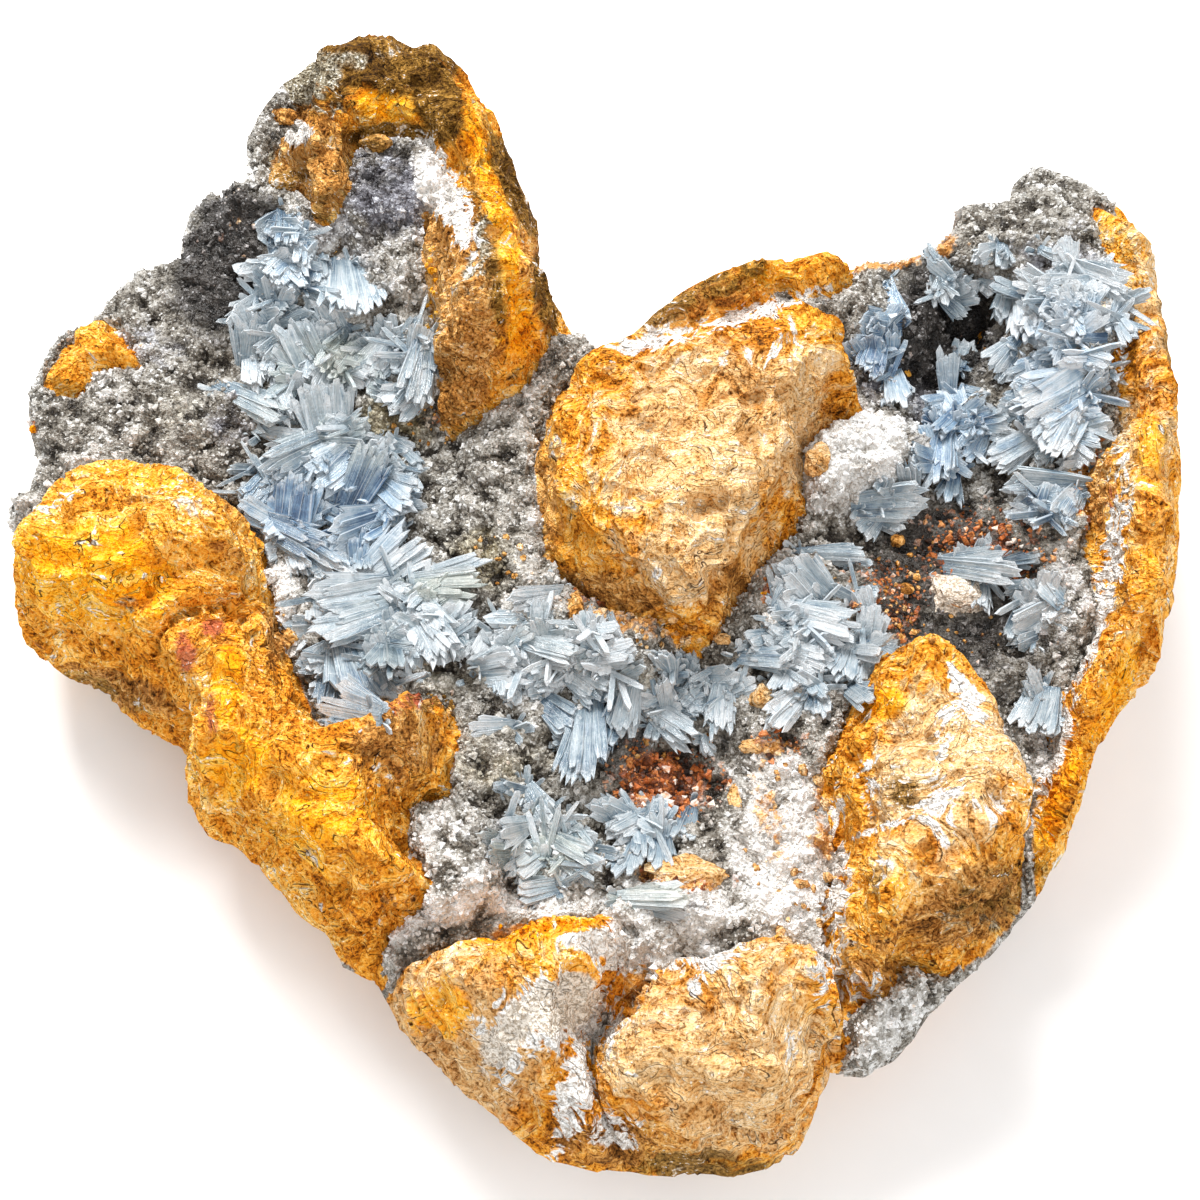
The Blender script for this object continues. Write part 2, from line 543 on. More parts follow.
rock = {
    "coarse": 0.0030,        # grid before the bare parts are made finer
    "longest": 0.0034,       # edges on steep sides are split down to this
    "blockSize": 0.021,
    "blockTilt": 0.62,
    "chipSize": 0.0080,
    "chipTilt": 0.42,
    "grainSize": 0.0032,
    "grainHeight": 0.0009,
    "ledgeRise": 0.0075,     # from one ledge to the next
    "ledgeHeight": 0.0017,
    "seed": 3.0,
    # narrow cracks: width and depth in mm, and the spots that they run through
    "cracks": [
        (3.0, 7.0, 92, [(306, 112), (304, 150), (304, 184)]), (2.6, 6.0, 94, [(352, 126), (354, 164)]),
        (2.6, 5.0, 92, [(280, 144), (300, 142)]), (2.4, 3.5, 68, [(638, 1010), (665, 1024), (704, 1026)]),
        (2.4, 4.0, 50, [(905, 905), (925, 935), (960, 942), (990, 938)]),
        (2.6, 4.5, 48, [(590, 915), (620, 918), (650, 925)]),
        (2.6, 4.5, 50, [(630, 1015), (640, 990), (650, 975), (685, 955), (720, 935)]),
        (2.2, 4.5, 76, [(262, 588), (220, 600), (178, 618), (150, 645)]),
        (2.6, 3.0, 60, [(28, 645), (100, 668), (168, 694), (230, 740)]),
        (2.6, 2.0, 70, [(215, 700), (250, 740), (240, 790), (270, 830)]),
        (2.6, 2.2, 70, [(660, 1040), (720, 1062), (790, 1050)]),
        (2.6, 3.0, 66, [(935, 888), (975, 870), (1010, 857), (1034, 832)]),
        (2.6, 2.0, 98, [(330, 118), (365, 135), (420, 140)]),
        (2.6, 2.2, 80, [(1130, 340), (1150, 420), (1146, 500)]),
    ],
    # patches: middle, reach each way in picture points, turn and amount
    "chalk": [
        ((622, 948), (24, 28), 0, 1.0), ((448, 196), (15, 58), -25, 1.0), ((462, 225), (10, 24), 10, 0.9),
        ((966, 696), (12, 34), -25, 0.8), ((940, 812), (20, 34), 10, 0.65), ((1000, 802), (11, 20), 0, 0.6),
        ((945, 726), (8, 32), 4, 0.65), ((868, 790), (12, 40), 0, 0.4), ((722, 952), (9, 26), 40, 0.8),
        ((700, 985), (12, 12), 0, 0.6), ((298, 132), (12, 10), 0, 1.2),
        ((550, 1015), (66, 34), -12, 1.0), ((505, 1040), (18, 40), 0, 0.8), ((572, 1095), (18, 56), 12, 0.9),
        ((610, 1130), (30, 16), 10, 0.8), ((440, 935), (50, 14), -14, 0.7), ((600, 945), (30, 14), 10, 0.8),
        ((690, 962), (60, 10), -10, 0.7), ((826, 968), (14, 36), 10, 0.6), ((610, 1020), (12, 30), 25, 0.7),
        ((660, 338), (50, 10), -16, 0.8), ((760, 310), (60, 9), -18, 0.8), ((775, 345), (40, 22), -20, 0.35),
        ((888, 826), (36, 3), -18, 1.0), ((1112, 560), (12, 60), 12, 0.8), ((1085, 650), (10, 50), 25, 0.9), ((1056, 750), (10, 54), 20, 0.9),
        ((1120, 470), (10, 40), 0, 0.5), ((1118, 330), (8, 50), -10, 0.7), ((870, 985), (24, 18), 0, 0.4),
        ((790, 1030), (10, 50), 0, 0.3), ((60, 500), (30, 10), -20, 0.4), ((835, 880), (12, 70), 0, 0.7),
    ],
    "sand": [
        ((545, 1012), (54, 24), -14, 1.0), ((500, 1045), (18, 28), 30, 1.0), ((575, 985), (30, 12), -10, 0.8),
        ((700, 1000), (30, 10), -20, 0.5), ((950, 830), (30, 14), 0, 0.4), ((195, 510), (26, 8), 20, 0.4),
    ],
    "soot": [
        ((298, 84), (44, 26), -24, 1.0), ((262, 132), (16, 50), 0, 1.0), ((340, 62), (46, 12), -8, 0.7),
        ((128, 605), (16, 10), 0, 0.7), ((330, 110), (20, 12), 0, 0.6), ((1120, 480), (14, 40), 0, 0.4),
        ((475, 270), (12, 60), 8, 0.6), ((85, 355), (16, 12), 0, 0.4), ((960, 925), (50, 16), -10, 0.5),
    ],
    "umber": [
        ((308, 182), (44, 40), 0, 0.30), ((904, 794), (16, 13), 0, 0.55), ((925, 672), (40, 22), 0, 0.35),
        ((690, 1165), (110, 16), 3, 0.6), ((430, 700), (26, 8), 10, 0.7), ((1010, 880), (40, 30), -40, 0.5),
        ((372, 62), (88, 26), 4, 1.3), ((438, 96), (22, 50), -20, 1.2), ((486, 250), (10, 90), -14, 0.6), ((518, 185), (14, 56), -28, 1.2),
        ((396, 138), (44, 12), 0, 1.1), ((322, 92), (36, 26), 0, 0.9), ((545, 290), (10, 44), -8, 1.0),
        ((700, 290), (90, 20), -22, 0.6), ((470, 130), (10, 40), -24, 0.6), ((1170, 330), (10, 90), 0, 0.5),
        ((985, 905), (44, 26), -20, 0.6), ((90, 690), (70, 16), 20, 0.5), ((880, 900), (20, 30), 0, 0.3),
    ],
    "earth": [
        ((305, 172), (48, 46), 0, 1.1), ((284, 118), (20, 22), 0, 1.0),
        ((462, 325), (36, 100), 8, 1.1), ((436, 270), (16, 70), 0, 1.1), ((280, 628), (16, 30), 0, 0.9), ((190, 500), (70, 22), 12, 0.5),
        ((968, 905), (62, 42), -8, 0.8), ((880, 960), (44, 38), 0, 0.5), ((1096, 470), (14, 60), -6, 0.9),
        ((400, 745), (40, 40), -30, 0.7), ((610, 592), (50, 16), 14, 0.8), ((540, 500), (20, 70), 0, 0.7),
        ((735, 600), (40, 30), -50, 0.5), ((530, 250), (14, 80), -10, 0.6), ((700, 300), (70, 18), -20, 0.5),
        ((120, 690), (60, 16), 20, 0.7), ((640, 1150), (80, 20), 4, 0.5), ((240, 560), (24, 40), -20, 0.4),
    ],
    "stain": [
        ((185, 652), (10, 22), -10, 1.0), ((212, 627), (12, 10), 0, 1.0), ((211, 718), (8, 26), 0, 0.7),
        ((415, 700), (40, 10), -20, 0.7), ((1112, 500), (8, 20), 0, 0.6),
    ],
    "bright": [
        ((885, 702), (18, 16), 0, 0.9), ((1060, 800), (14, 70), 24, 0.8),
        ((95, 575), (72, 46), 12, 0.9), ((228, 680), (15, 44), 6, 1.0), ((388, 102), (34, 16), 10, 1.0),
        ((474, 140), (12, 60), -24, 1.0), ((502, 236), (14, 60), -12, 0.9), ((510, 320), (24, 40), -20, 0.8), ((330, 815), (80, 60), 30, 0.5), ((1150, 500), (16, 130), 0, 0.6),
        ((240, 760), (40, 40), 20, 0.7), ((520, 930), (60, 10), -8, 0.8), ((440, 1010), (30, 30), 30, 0.7),
        ((1110, 700), (12, 60), 25, 0.7), ((760, 275), (60, 12), -8, 0.6), ((150, 480), (60, 14), 8, 0.4),
    ],
    "pale": [
        ((720, 420), (120, 90), -10, 0.9), ((950, 770), (70, 90), 10, 0.8), ((1150, 420), (26, 180), 0, 0.6), ((720, 1070), (110, 80), 0, 0.8),
        ((720, 980), (100, 50), -10, 0.7), ((470, 1040), (90, 80), 30, 0.9), ((700, 540), (90, 60), -20, 0.7), ((380, 700), (60, 40), 0, 0.3),
    ],
}


# places between two knobs where bare rock goes on: middle, reach each way and turn
bareLinks = [
    ((720, 322), (80, 7), -17, 1.0), ((690, 300), (26, 8), -30, 1.0), ((240, 640), (34, 14), -20, 1.0),
    ((170, 650), (44, 16), -30, 1.0), ((125, 690), (60, 14), 18, 1.0), ((628, 1030), (14, 60), 12, 1.0),
    ((612, 1120), (22, 60), 0, 1.0), ((820, 1060), (16, 30), 0, 1.0), ((30, 620), (20, 60), 0, 1.0),
    ((1158, 672), (14, 16), 0, 1.0), ((1136, 226), (22, 22), 40, 1.0), ((372, 980), (14, 12), 0, 1.0),
]


def linked(x, y, z):
    # above zero where a spot of this height lies in one of those places, in metres
    u, v = seenAt(np.stack((x, y, z), axis=1))
    return (patchAmount(u, v, bareLinks) - 0.5) * 0.010


def trimToRim(bm):
    # cuts a grid to the rim and draws its border onto it
    spots = np.array([vert.co[:] for vert in bm.verts])
    depth = nearestOnRing(spots[:, 0], spots[:, 1], rimRing)[0]
    outside = [vert for vert, inside in zip(bm.verts, depth) if inside < -0.3 * rock["coarse"]]
    bmesh.ops.delete(bm, geom=outside, context="VERTS")
    border = [vert for vert in bm.verts if vert.is_boundary]
    spots = np.array([vert.co[:] for vert in border])
    near = nearestOnRing(spots[:, 0], spots[:, 1], rimRing)[1]
    for vert, spot in zip(border, near):
        vert.co.x, vert.co.y = spot[0], spot[1]
    bmesh.ops.remove_doubles(bm, verts=border, dist=0.2 * rock["coarse"])
    bmesh.ops.triangulate(bm, faces=bm.faces[:])
    chords = [e for e in bm.edges if not e.is_boundary and all(vert.is_boundary for vert in e.verts)]
    bmesh.ops.subdivide_edges(bm, edges=chords, cuts=1)
    bmesh.ops.triangulate(bm, faces=bm.faces[:])


def splitLong(bm, wanted, longest):
    edges = [edge for edge in bm.edges if wanted(edge) and edge.calc_length() > longest]
    bmesh.ops.subdivide_edges(bm, edges=edges, cuts=1)
    bmesh.ops.triangulate(bm, faces=[face for face in bm.faces if len(face.verts) > 3])


def crackDepth(x, y):
    deepest = np.zeros(x.shape)
    for width, depth, height, spots in rock["cracks"]:
        line = np.array([place(u, v, height * mm) for u, v in spots])
        away = np.full(x.shape, np.inf)
        for start, end in zip(line[:-1], line[1:]):
            run = end - start
            share = np.clip(((x - start[0]) * run[0] + (y - start[1]) * run[1]) / (run @ run), 0.0, 1.0)
            away = np.minimum(away, np.hypot(x - start[0] - share * run[0], y - start[1] - share * run[1]))
        deepest = np.maximum(deepest, depth * mm * np.exp(-((away / (width * mm)) ** 2)))
    return deepest


def rockShell():
    # the closed body of rock, with finer faces where it is bare
    bm = bmesh.new()
    cells = round(2 * ground["reach"] / rock["coarse"])
    bmesh.ops.create_grid(bm, x_segments=cells, y_segments=cells, size=ground["reach"])
    trimToRim(bm)
    bare = bm.verts.layers.float.new("bare")
    upper = list(bm.verts)
    copied = bmesh.ops.duplicate(bm, geom=bm.verts[:] + bm.edges[:] + bm.faces[:])["geom"]
    lower = [item for item in copied if isinstance(item, bmesh.types.BMVert)]
    bmesh.ops.reverse_faces(bm, faces=[item for item in copied if isinstance(item, bmesh.types.BMFace)])
    spots = np.array([vert.co[:] for vert in upper])
    heights = topHeight(spots[:, 0], spots[:, 1])
    depths = bareDepth(spots[:, 0], spots[:, 1])
    for vert, height, depth in zip(upper, heights, depths):
        vert.co.z = height
        vert[bare] = depth
    spots = np.array([vert.co[:] for vert in lower])
    for vert, height in zip(lower, underHeight(spots[:, 0], spots[:, 1])):
        vert.co.z = max(height, ground["baseLevel"])
        vert[bare] = 1.0
    flat = [face for face in bm.faces if all(vert.co.z <= ground["baseLevel"] for vert in face.verts)]
    bmesh.ops.delete(bm, geom=flat, context="FACES")
    bmesh.ops.remove_doubles(bm, verts=[vert for vert in bm.verts if vert.is_boundary], dist=1e-5)
    base = [edge for edge in bm.edges if edge.is_boundary]
    bmesh.ops.holes_fill(bm, edges=base, sides=0)
    bmesh.ops.triangulate(bm, faces=[face for face in bm.faces if len(face.verts) > 3])
    bmesh.ops.translate(bm, verts=bm.verts, vec=(0, 0, -ground["baseLevel"]))

    def showing(edge):
        return all(vert[bare] > -0.004 and vert.co.z > 0.0002 for vert in edge.verts)

    def facingUp(edge):
        return all(vert[bare] > -0.002 and vert.co.z > 0.03 for vert in edge.verts)

    splitLong(bm, showing, rock["longest"] * 1.35)
    splitLong(bm, showing, rock["longest"] * 1.2)
    splitLong(bm, facingUp, rock["longest"] * 0.85)
    bmesh.ops.recalc_face_normals(bm, faces=bm.faces)
    return objectFrom("matrixRock", bm)


def hacklyTree():
    # breaks the smooth body into tilted blocks, chips and grains
    tree = Shaper("hackly rock", {
        "Block Size": "Float", "Block Tilt": "Float", "Chip Size": "Float", "Chip Tilt": "Float",
        "Grain Size": "Float", "Grain Height": "Float", "Ledge Rise": "Float", "Ledge Height": "Float",
        "Seed": "Float", "Material": "Material"})
    spot = tree.add("GeometryNodeInputPosition")
    shifted = tree.vector("ADD", spot, tree.add("ShaderNodeCombineXYZ", None, {"X": tree.input("Seed")}))
    height = tree.facets(shifted, tree.input("Block Size")) * tree.input("Block Tilt")
    height = height + tree.facets(shifted, tree.input("Chip Size")) * tree.input("Chip Tilt")
    bent = tree.grain(shifted, 38.0, 3.0) * 0.030 + tree.vector("DOT_PRODUCT", spot, (0.20, -0.42, 0.88), "Value")
    ledge = tree.maths("FRACT", bent / tree.input("Ledge Rise"))
    axes = tree.add("ShaderNodeSeparateXYZ", None, {"Vector": spot})
    flank = 2.4 - tree.rise(tree.other(axes, "Z"), 0.040, 0.072) * 1.4  # the flanks show their layers more
    height = height + (ledge - 0.5) * tree.input("Ledge Height") * flank * tree.grain(shifted, 55.0, 2.0) * 2.0
    fine = tree.grain(shifted, 1.0 / tree.input("Grain Size"), 3.0, 0.6)
    height = height + (fine - 0.5) * tree.input("Grain Height")
    height = tree.maths("MINIMUM", tree.maths("MAXIMUM", height, -0.0032), 0.0032) * tree.field("rough")
    normal = tree.add("GeometryNodeInputNormal")
    sockets = {"Geometry": tree.input("Geometry"), "Offset": tree.scaled(normal, height)}
    moved = tree.add("GeometryNodeSetPosition", None, sockets)
    sunk = cavity(tree, 5) * 260.0
    moved = tree.store(moved, "sunk", sunk)
    moved = tree.store(moved, "hollowed", cavity(tree, 40) * 90.0)
    tree.finishWith(moved)
    return tree


def cavity(tree, steps):
    # how deep a point lies below its surroundings, in metres
    spot = tree.add("GeometryNodeInputPosition")
    sockets = {"Value": spot, "Iterations": steps, "Weight": 1.0}
    around = tree.add("GeometryNodeBlurAttribute", {"data_type": "FLOAT_VECTOR"}, sockets)
    normal = tree.add("GeometryNodeInputNormal")
    return tree.vector("DOT_PRODUCT", tree.vector("SUBTRACT", around, spot), normal, out="Value")


def paintPatches(obj, fields):
    u, v = seenAt(pointsOf(obj))
    for name in fields:
        mark(obj.data, name, patchAmount(u, v, rock[name]))


def ochreFinish():
    f = Finish("ochre rock")
    where = f.where
    broad = f.grain(where, 26.0, 2.0, 0.5)
    # the fibres and flakes run every way: their coordinates are turned by the broad noise
    swirl = f.vector("SUBTRACT", f.other(broad, "Color"), (0.5, 0.5, 0.5))
    bent = f.vector("ADD", where, f.scaled(swirl, 0.075))
    middling = f.grain(bent, 110.0, 3.0, 0.65)
    fibres = f.grain(f.vector("MULTIPLY", bent, (0.5, 1.0, 1.0)), 330.0, 2.0, 0.6)
    small = f.grain(where, 900.0, 1.5, 0.7)
    # thin flakes on top of each other: a stepped noise, dark along the steps
    flaky = f.grain(f.vector("MULTIPLY", bent, (0.5, 1.0, 1.5)), 58.0, 3.0, 0.54) * 12.0
    part = f.maths("FRACT", flaky)
    level = flaky - part
    flakeTint = f.maths("FRACT", level * 0.618)
    flakes = level + f.rise(part, 0.0, 0.18)
    shown = f.rise(middling + (fibres - 0.5) * 0.5 - f.field("pale") * 0.04, 0.47, 0.58)
    deep = f.rise(f.maths("FRACT", level * 0.382), 0.68, 0.74)  # about one step in four is a wide dark crack
    cracks = (1.0 - f.rise(part, 0.02, 0.10 + deep * 0.12)) * shown * (0.72 + deep * 0.28)
    lit = (1.0 - f.rise(part, 0.10, 0.30)) * f.rise(part, 0.06, 0.12) * shown  # the bright edge of a flake
    value = 0.60 + (broad - 0.5) * 0.6 + (middling - 0.5) * 0.8 + (small - 0.5) * 0.85 + (fibres - 0.5) * 0.45
    value = value + (flakeTint - 0.5) * 0.22 + lit * 0.10
    colour = f.ramp(value, [
        (0.16, tone(90, 48, 10)), (0.32, tone(168, 96, 18)), (0.45, tone(220, 136, 32)),
        (0.58, tone(242, 168, 58)), (0.72, tone(250, 194, 98)), (0.90, tone(255, 226, 158))])
    tan = f.ramp(value, [
        (0.16, tone(106, 68, 32)), (0.32, tone(176, 124, 66)), (0.46, tone(212, 162, 102)),
        (0.62, tone(230, 190, 136)), (0.90, tone(246, 220, 182))])
    yellow = f.ramp(value, [
        (0.18, tone(190, 92, 4)), (0.38, tone(246, 142, 4)), (0.58, tone(255, 172, 16)),
        (0.84, tone(255, 206, 88))])
    earth = f.ramp(value, [
        (0.20, tone(64, 40, 16)), (0.40, tone(146, 96, 44)), (0.58, tone(202, 144, 76)),
        (0.78, tone(236, 190, 126))])
    umber = f.ramp(value, [
        (0.20, tone(22, 15, 6)), (0.42, tone(60, 42, 15)), (0.60, tone(104, 74, 28)),
        (0.84, tone(166, 122, 54))])
    patchy = (middling - 0.5) * 1.8 + (broad - 0.5) * 1.3
    colour = f.mix(f.rise(f.field("pale") + patchy, 0.20, 0.70) * 0.9, colour, tan)
    colour = f.mix(f.rise(f.field("bright") + patchy, 0.30, 0.70) * 0.9, colour, yellow)
    colour = f.mix(f.rise(f.field("earth") - patchy, 0.25, 0.80) * 0.9, colour, earth)
    colour = f.mix(f.rise(f.field("umber") + patchy, 0.25, 0.75) * 0.95, colour, umber)
    speckled = f.ramp(small + (middling - 0.5) * 0.4, [
        (0.28, tone(58, 48, 34)), (0.46, tone(116, 104, 82)), (0.60, tone(172, 164, 144)),
        (0.74, tone(232, 229, 220))])
    colour = f.mix(f.rise(f.field("soot") + patchy, 0.35, 0.75), colour, speckled)
    red = f.rise(f.field("stain") + (fibres - 0.5) * 1.8 + (middling - 0.5), 0.35, 0.95)
    colour = f.mix(red * 0.85, colour, f.mix(small, tone(128, 44, 30), tone(214, 110, 84)))
    grainy = f.rise(small, 0.38, 0.56)
    sandy = f.rise(f.field("sand") + patchy, 0.40, 0.70)
    druseSide = f.rise(f.field("crusted") + patchy * 0.7, 0.40, 0.70)
    greys = f.ramp(value, [(0.2, tone(60, 52, 44)), (0.5, tone(146, 140, 130)), (0.8, tone(226, 225, 222))])
    colour = f.mix(druseSide, colour, greys)
    pits = 1.0 - f.rise(small + (fibres - 0.5) * 0.6, 0.28, 0.40)
    dim = f.maths("MAXIMUM", pits * 0.45, cracks * 0.98)
    dim = f.maths("MAXIMUM", dim, f.rise(f.field("sunk") + (small - 0.5) * 0.5, 0.10, 0.75) * 0.65)
    dim = f.maths("MAXIMUM", dim, f.rise(f.field("hollowed"), 0.25, 1.00) * 0.30)
    colour = f.mix(dim, colour, f.mix(1.0, colour, tone(92, 64, 44), "MULTIPLY"))
    flecks = f.rise(small + broad * 0.5 + (flakeTint - 0.5) * 0.3, 0.97, 1.04)
    chalk = f.rise(f.field("chalk") + (fibres - 0.5) * 1.2 + (middling - 0.5) * 2.6, 0.42, 0.62)
    chalk = f.maths("MAXIMUM", chalk, flecks * 0.6) * (1.0 - dim * 0.5)
    colour = f.mix(chalk, colour, f.mix(grainy, tone(198, 190, 180), tone(247, 246, 243)))
    colour = f.mix(sandy * 0.95, colour, f.mix(grainy, tone(184, 168, 148), tone(236, 226, 212)))
    f.feed(Base_Color=colour, Roughness=0.85)
    f.shader.inputs["Specular IOR Level"].default_value = 0.08
    f.bump((flakes * 0.62 + middling * 1.6 + fibres * 0.6 + small * 0.9 - cracks * deep * 0.8, 0.0018))
    return f.material


def makeRock(finish):
    obj = rockShell()
    points = pointsOf(obj)
    upper = points[:, 2] > 0.03
    bare = bareDepth(points[:, 0], points[:, 1])
    points[:, 2] -= np.where(upper, crackDepth(points[:, 0], points[:, 1]), 0.0)
    setPoints(obj, points)
    border = smoothRise(nearestOnRing(points[:, 0], points[:, 1], rimRing)[0], 0.001, 0.007)
    rough = np.where(upper, 0.35 + 0.65 * smoothRise(bare, -0.003, 0.004), 0.9)
    rough = rough * (0.45 + 0.55 * border)
    mark(obj.data, "rough", rough * np.clip(points[:, 2] / 0.006, 0.0, 1.0))
    hacklyTree().run(obj, **{
        "Block Size": rock["blockSize"], "Block Tilt": rock["blockTilt"], "Chip Size": rock["chipSize"],
        "Chip Tilt": rock["chipTilt"], "Grain Size": rock["grainSize"], "Grain Height": rock["grainHeight"],
        "Ledge Rise": rock["ledgeRise"], "Ledge Height": rock["ledgeHeight"], "Seed": rock["seed"],
        "Material": finish})
    points = np.clip(pointsOf(obj), np.array(cadBox[0]), np.array(cadBox[1]))
    setPoints(obj, points)
    x, y, z = points.T
    bare = np.maximum(bareDepth(x, y), linked(x, y, z))
    near = nearestOnRing(x, y, rimRing)[1]
    below = smoothRise(near[:, 2] - z, 0.003, 0.024)
    mark(obj.data, "crusted", smoothRise(-bare, -0.0005, 0.003) * (1.0 - below))
    paintPatches(obj, ("chalk", "sand", "soot", "umber", "earth", "stain", "bright", "pale"))
    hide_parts("matrix_rock")
    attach(obj, "root")
    print("rock:", len(obj.data.polygons), "faces")
    return obj


druse = {
    "step": 0.0024,
    "rimClear": 0.0006,
    "thickness": 0.0032,
    "edgeFade": 0.0035,
    "depth": 0.003,          # how far it reaches down into the rock
    "buttonSize": 0.0062,
    "buttonHeight": 0.0038,
    "beadSize": 0.0030,
    "beadHeight": 0.0016,
    # size in metres and number to a square metre
    "stubs": (0.00105, 158000.0),
    "sugar": (0.00062, 230000.0),
    "grains": (0.00125, 260000.0),
    "dark": [
        ((222, 278), (46, 60), 10, 1.0), ((372, 180), (26, 14), 0, 0.6), ((945, 330), (52, 66), -10, 1.0),
        ((950, 590), (100, 90), 10, 0.75), ((620, 755), (56, 30), 10, 0.6), ((235, 215), (40, 26), 0, 0.8),
        ((330, 430), (30, 20), 0, 0.5), ((500, 830), (16, 20), 0, 0.5), ((918, 480), (8, 40), 0, 0.9),
        ((1020, 680), (30, 60), 10, 0.5), ((470, 700), (30, 20), 0, 0.4), ((300, 700), (20, 24), 0, 0.6),
        ((650, 903), (50, 4), 6, 0.8), ((375, 300), (20, 20), 0, 0.4), ((720, 745), (40, 20), 0, 0.5),
    ],
    "violet": [
        ((390, 190), (50, 50), 0, 0.9), ((340, 250), (50, 40), 0, 0.6), ((930, 380), (40, 60), 0, 0.7),
        ((740, 300), (60, 10), -20, 0.8), ((240, 420), (40, 30), 0, 0.6), ((150, 350), (40, 30), 0, 0.4),
        ((1060, 250), (50, 30), 0, 0.5), ((870, 360), (20, 50), 0, 0.7), ((620, 740), (40, 20), 0, 0.4),
    ],
    "rust": [
        ((665, 785), (50, 38), 0, 1.0), ((985, 555), (62, 40), 0, 0.7), ((885, 605), (44, 40), 0, 0.6),
        ((780, 592), (18, 18), 0, 0.9), ((895, 262), (40, 8), -8, 0.34), ((1090, 470), (16, 60), 0, 0.8),
        ((430, 415), (30, 12), 0, 0.4), ((30, 430), (8, 8), 0, 1.0), ((685, 875), (44, 14), 6, 0.9),
        ((780, 745), (30, 12), 0, 0.8), ((405, 905), (20, 8), -20, 0.8), ((600, 600), (40, 14), 12, 0.5),
    ],
    "white": [
        ((455, 845), (70, 56), 0, 0.5), ((450, 910), (60, 14), -12, 1.1), ((560, 905), (60, 10), -4, 1.0), ((438, 192), (16, 52), -25, 1.0), ((825, 450), (66, 50), 0, 1.4),
        ((870, 470), (50, 50), 0, 1.3), ((282, 588), (16, 30), 0, 0.9), ((662, 925), (72, 36), -8, 1.5),
        ((785, 850), (50, 100), -8, 1.3), ((640, 985), (16, 50), 10, 1.4), ((850, 455), (56, 36), 0, 0.5), ((395, 925), (26, 20), 0, 0.9),
        ((955, 598), (32, 20), 0, 0.9), ((120, 400), (60, 50), 0, 0.35), ((890, 1030), (50, 40), -20, 0.6),
        ((1060, 200), (70, 40), 10, 0.15), ((350, 260), (60, 40), 0, 0.5), ((1070, 600), (30, 40), 0, 0.6),
        ((560, 720), (80, 40), 0, 0.4), ((1040, 760), (14, 50), 10, 0.9), ((740, 300), (90, 8), -20, 0.9),
    ],
    "ochre": [
        ((685, 876), (42, 13), 6, 1.0), ((780, 748), (34, 10), 0, 0.8), ((765, 800), (16, 60), -10, 0.7),
        ((830, 820), (20, 60), 0, 0.8), ((900, 256), (50, 10), -12, 1.2), ((735, 800), (14, 20), 0, 0.6), ((640, 625), (70, 16), 18, 0.6),
        ((576, 605), (8, 18), 0, 0.9), ((700, 640), (30, 10), -20, 0.5), ((545, 930), (50, 8), -8, 0.7),
        ((455, 330), (10, 60), 0, 0.6), ((1078, 470), (12, 50), 0, 0.5),
    ],
    "olive": [
        ((392, 425), (44, 26), 0, 0.9), ((480, 560), (28, 32), 0, 0.8), ((330, 350), (24, 20), 0, 0.5),
        ((180, 420), (60, 40), 0, 0.4), ((520, 760), (90, 50), 0, 0.45), ((450, 700), (40, 60), 0, 0.35),
        ((600, 690), (90, 30), 0, 0.35),
    ],
}


def hollowDepth(x, y):
    # how far inside the crust each spot lies
    height = topHeight(x, y)
    depth = np.minimum(-bareDepth(x, y), nearestOnRing(x, y, rimRing)[0] - druse["rimClear"])
    return np.minimum(depth, -linked(x, y, height)), height - ground["baseLevel"]


def druseSheet():
    # a closed thin layer over the hollow, sunk into the rock at its border
    bm = bmesh.new()
    cells = round(2 * ground["reach"] / druse["step"])
    bmesh.ops.create_grid(bm, x_segments=cells, y_segments=cells, size=ground["reach"])
    spots = np.array([vert.co[:] for vert in bm.verts])
    inside, heights = hollowDepth(spots[:, 0], spots[:, 1])
    bmesh.ops.delete(bm, geom=[vert for vert, depth in zip(bm.verts, inside) if depth < -0.0004], context="VERTS")
    bmesh.ops.delete(bm, geom=[vert for vert in bm.verts if not vert.link_faces], context="VERTS")
    bm.verts.index_update()
    spots = np.array([vert.co[:] for vert in bm.verts])
    inside, heights = hollowDepth(spots[:, 0], spots[:, 1])
    lift = (druse["thickness"] + druse["depth"]) * smoothRise(inside, -0.0004, druse["edgeFade"])
    upper = np.column_stack((spots[:, :2], heights - druse["depth"] + lift))
    lower = np.column_stack((spots[:, :2], heights - 2 * druse["depth"]))
    count = len(spots)
    faces = [[vert.index for vert in face.verts] for face in bm.faces]
    faces += [[number + count for number in reversed(face)] for face in faces]
    for face in bm.faces:
        for loop in face.loops:
            if loop.edge.is_boundary:
                start, end = loop.vert.index, loop.link_loop_next.vert.index
                faces.append([end, start, start + count, end + count])
    bm.free()
    closed = bmesh.new()
    corners = [closed.verts.new(spot) for spot in np.vstack((upper, lower))]
    for face in faces:
        closed.faces.new([corners[number] for number in face])
    bmesh.ops.triangulate(closed, faces=closed.faces[:])
    obj = objectFrom("druseCrust", closed)
    mark(obj.data, "rough", np.repeat((1.0, 0.0), count))
    return obj


def shapeCollection(name, shapes):
    collection = bpy.data.collections.new(name)
    for obj in shapes:
        bpy.context.scene.collection.objects.unlink(obj)
        collection.objects.link(obj)
    return collection


def crystalShape(name, sides, waist, tip, twist):
    # a stubby crystal: a ring of corners, a point above and one below
    bm = bmesh.new()
    ring = []
    for number in range(sides):
        angle = 2 * math.pi * (number + twist * (number % 2)) / sides
        ring.append(bm.verts.new((math.cos(angle), math.sin(angle), waist * (1 - 2 * (number % 2)))))
    top = bm.verts.new((0.12, -0.08, tip))
    foot = bm.verts.new((0, 0, -0.9))
    for number in range(sides):
        beside = ring[(number + 1) % sides]
        bm.faces.new((ring[number], beside, top))
        bm.faces.new((beside, ring[number], foot))
    return objectFrom(name, bm)


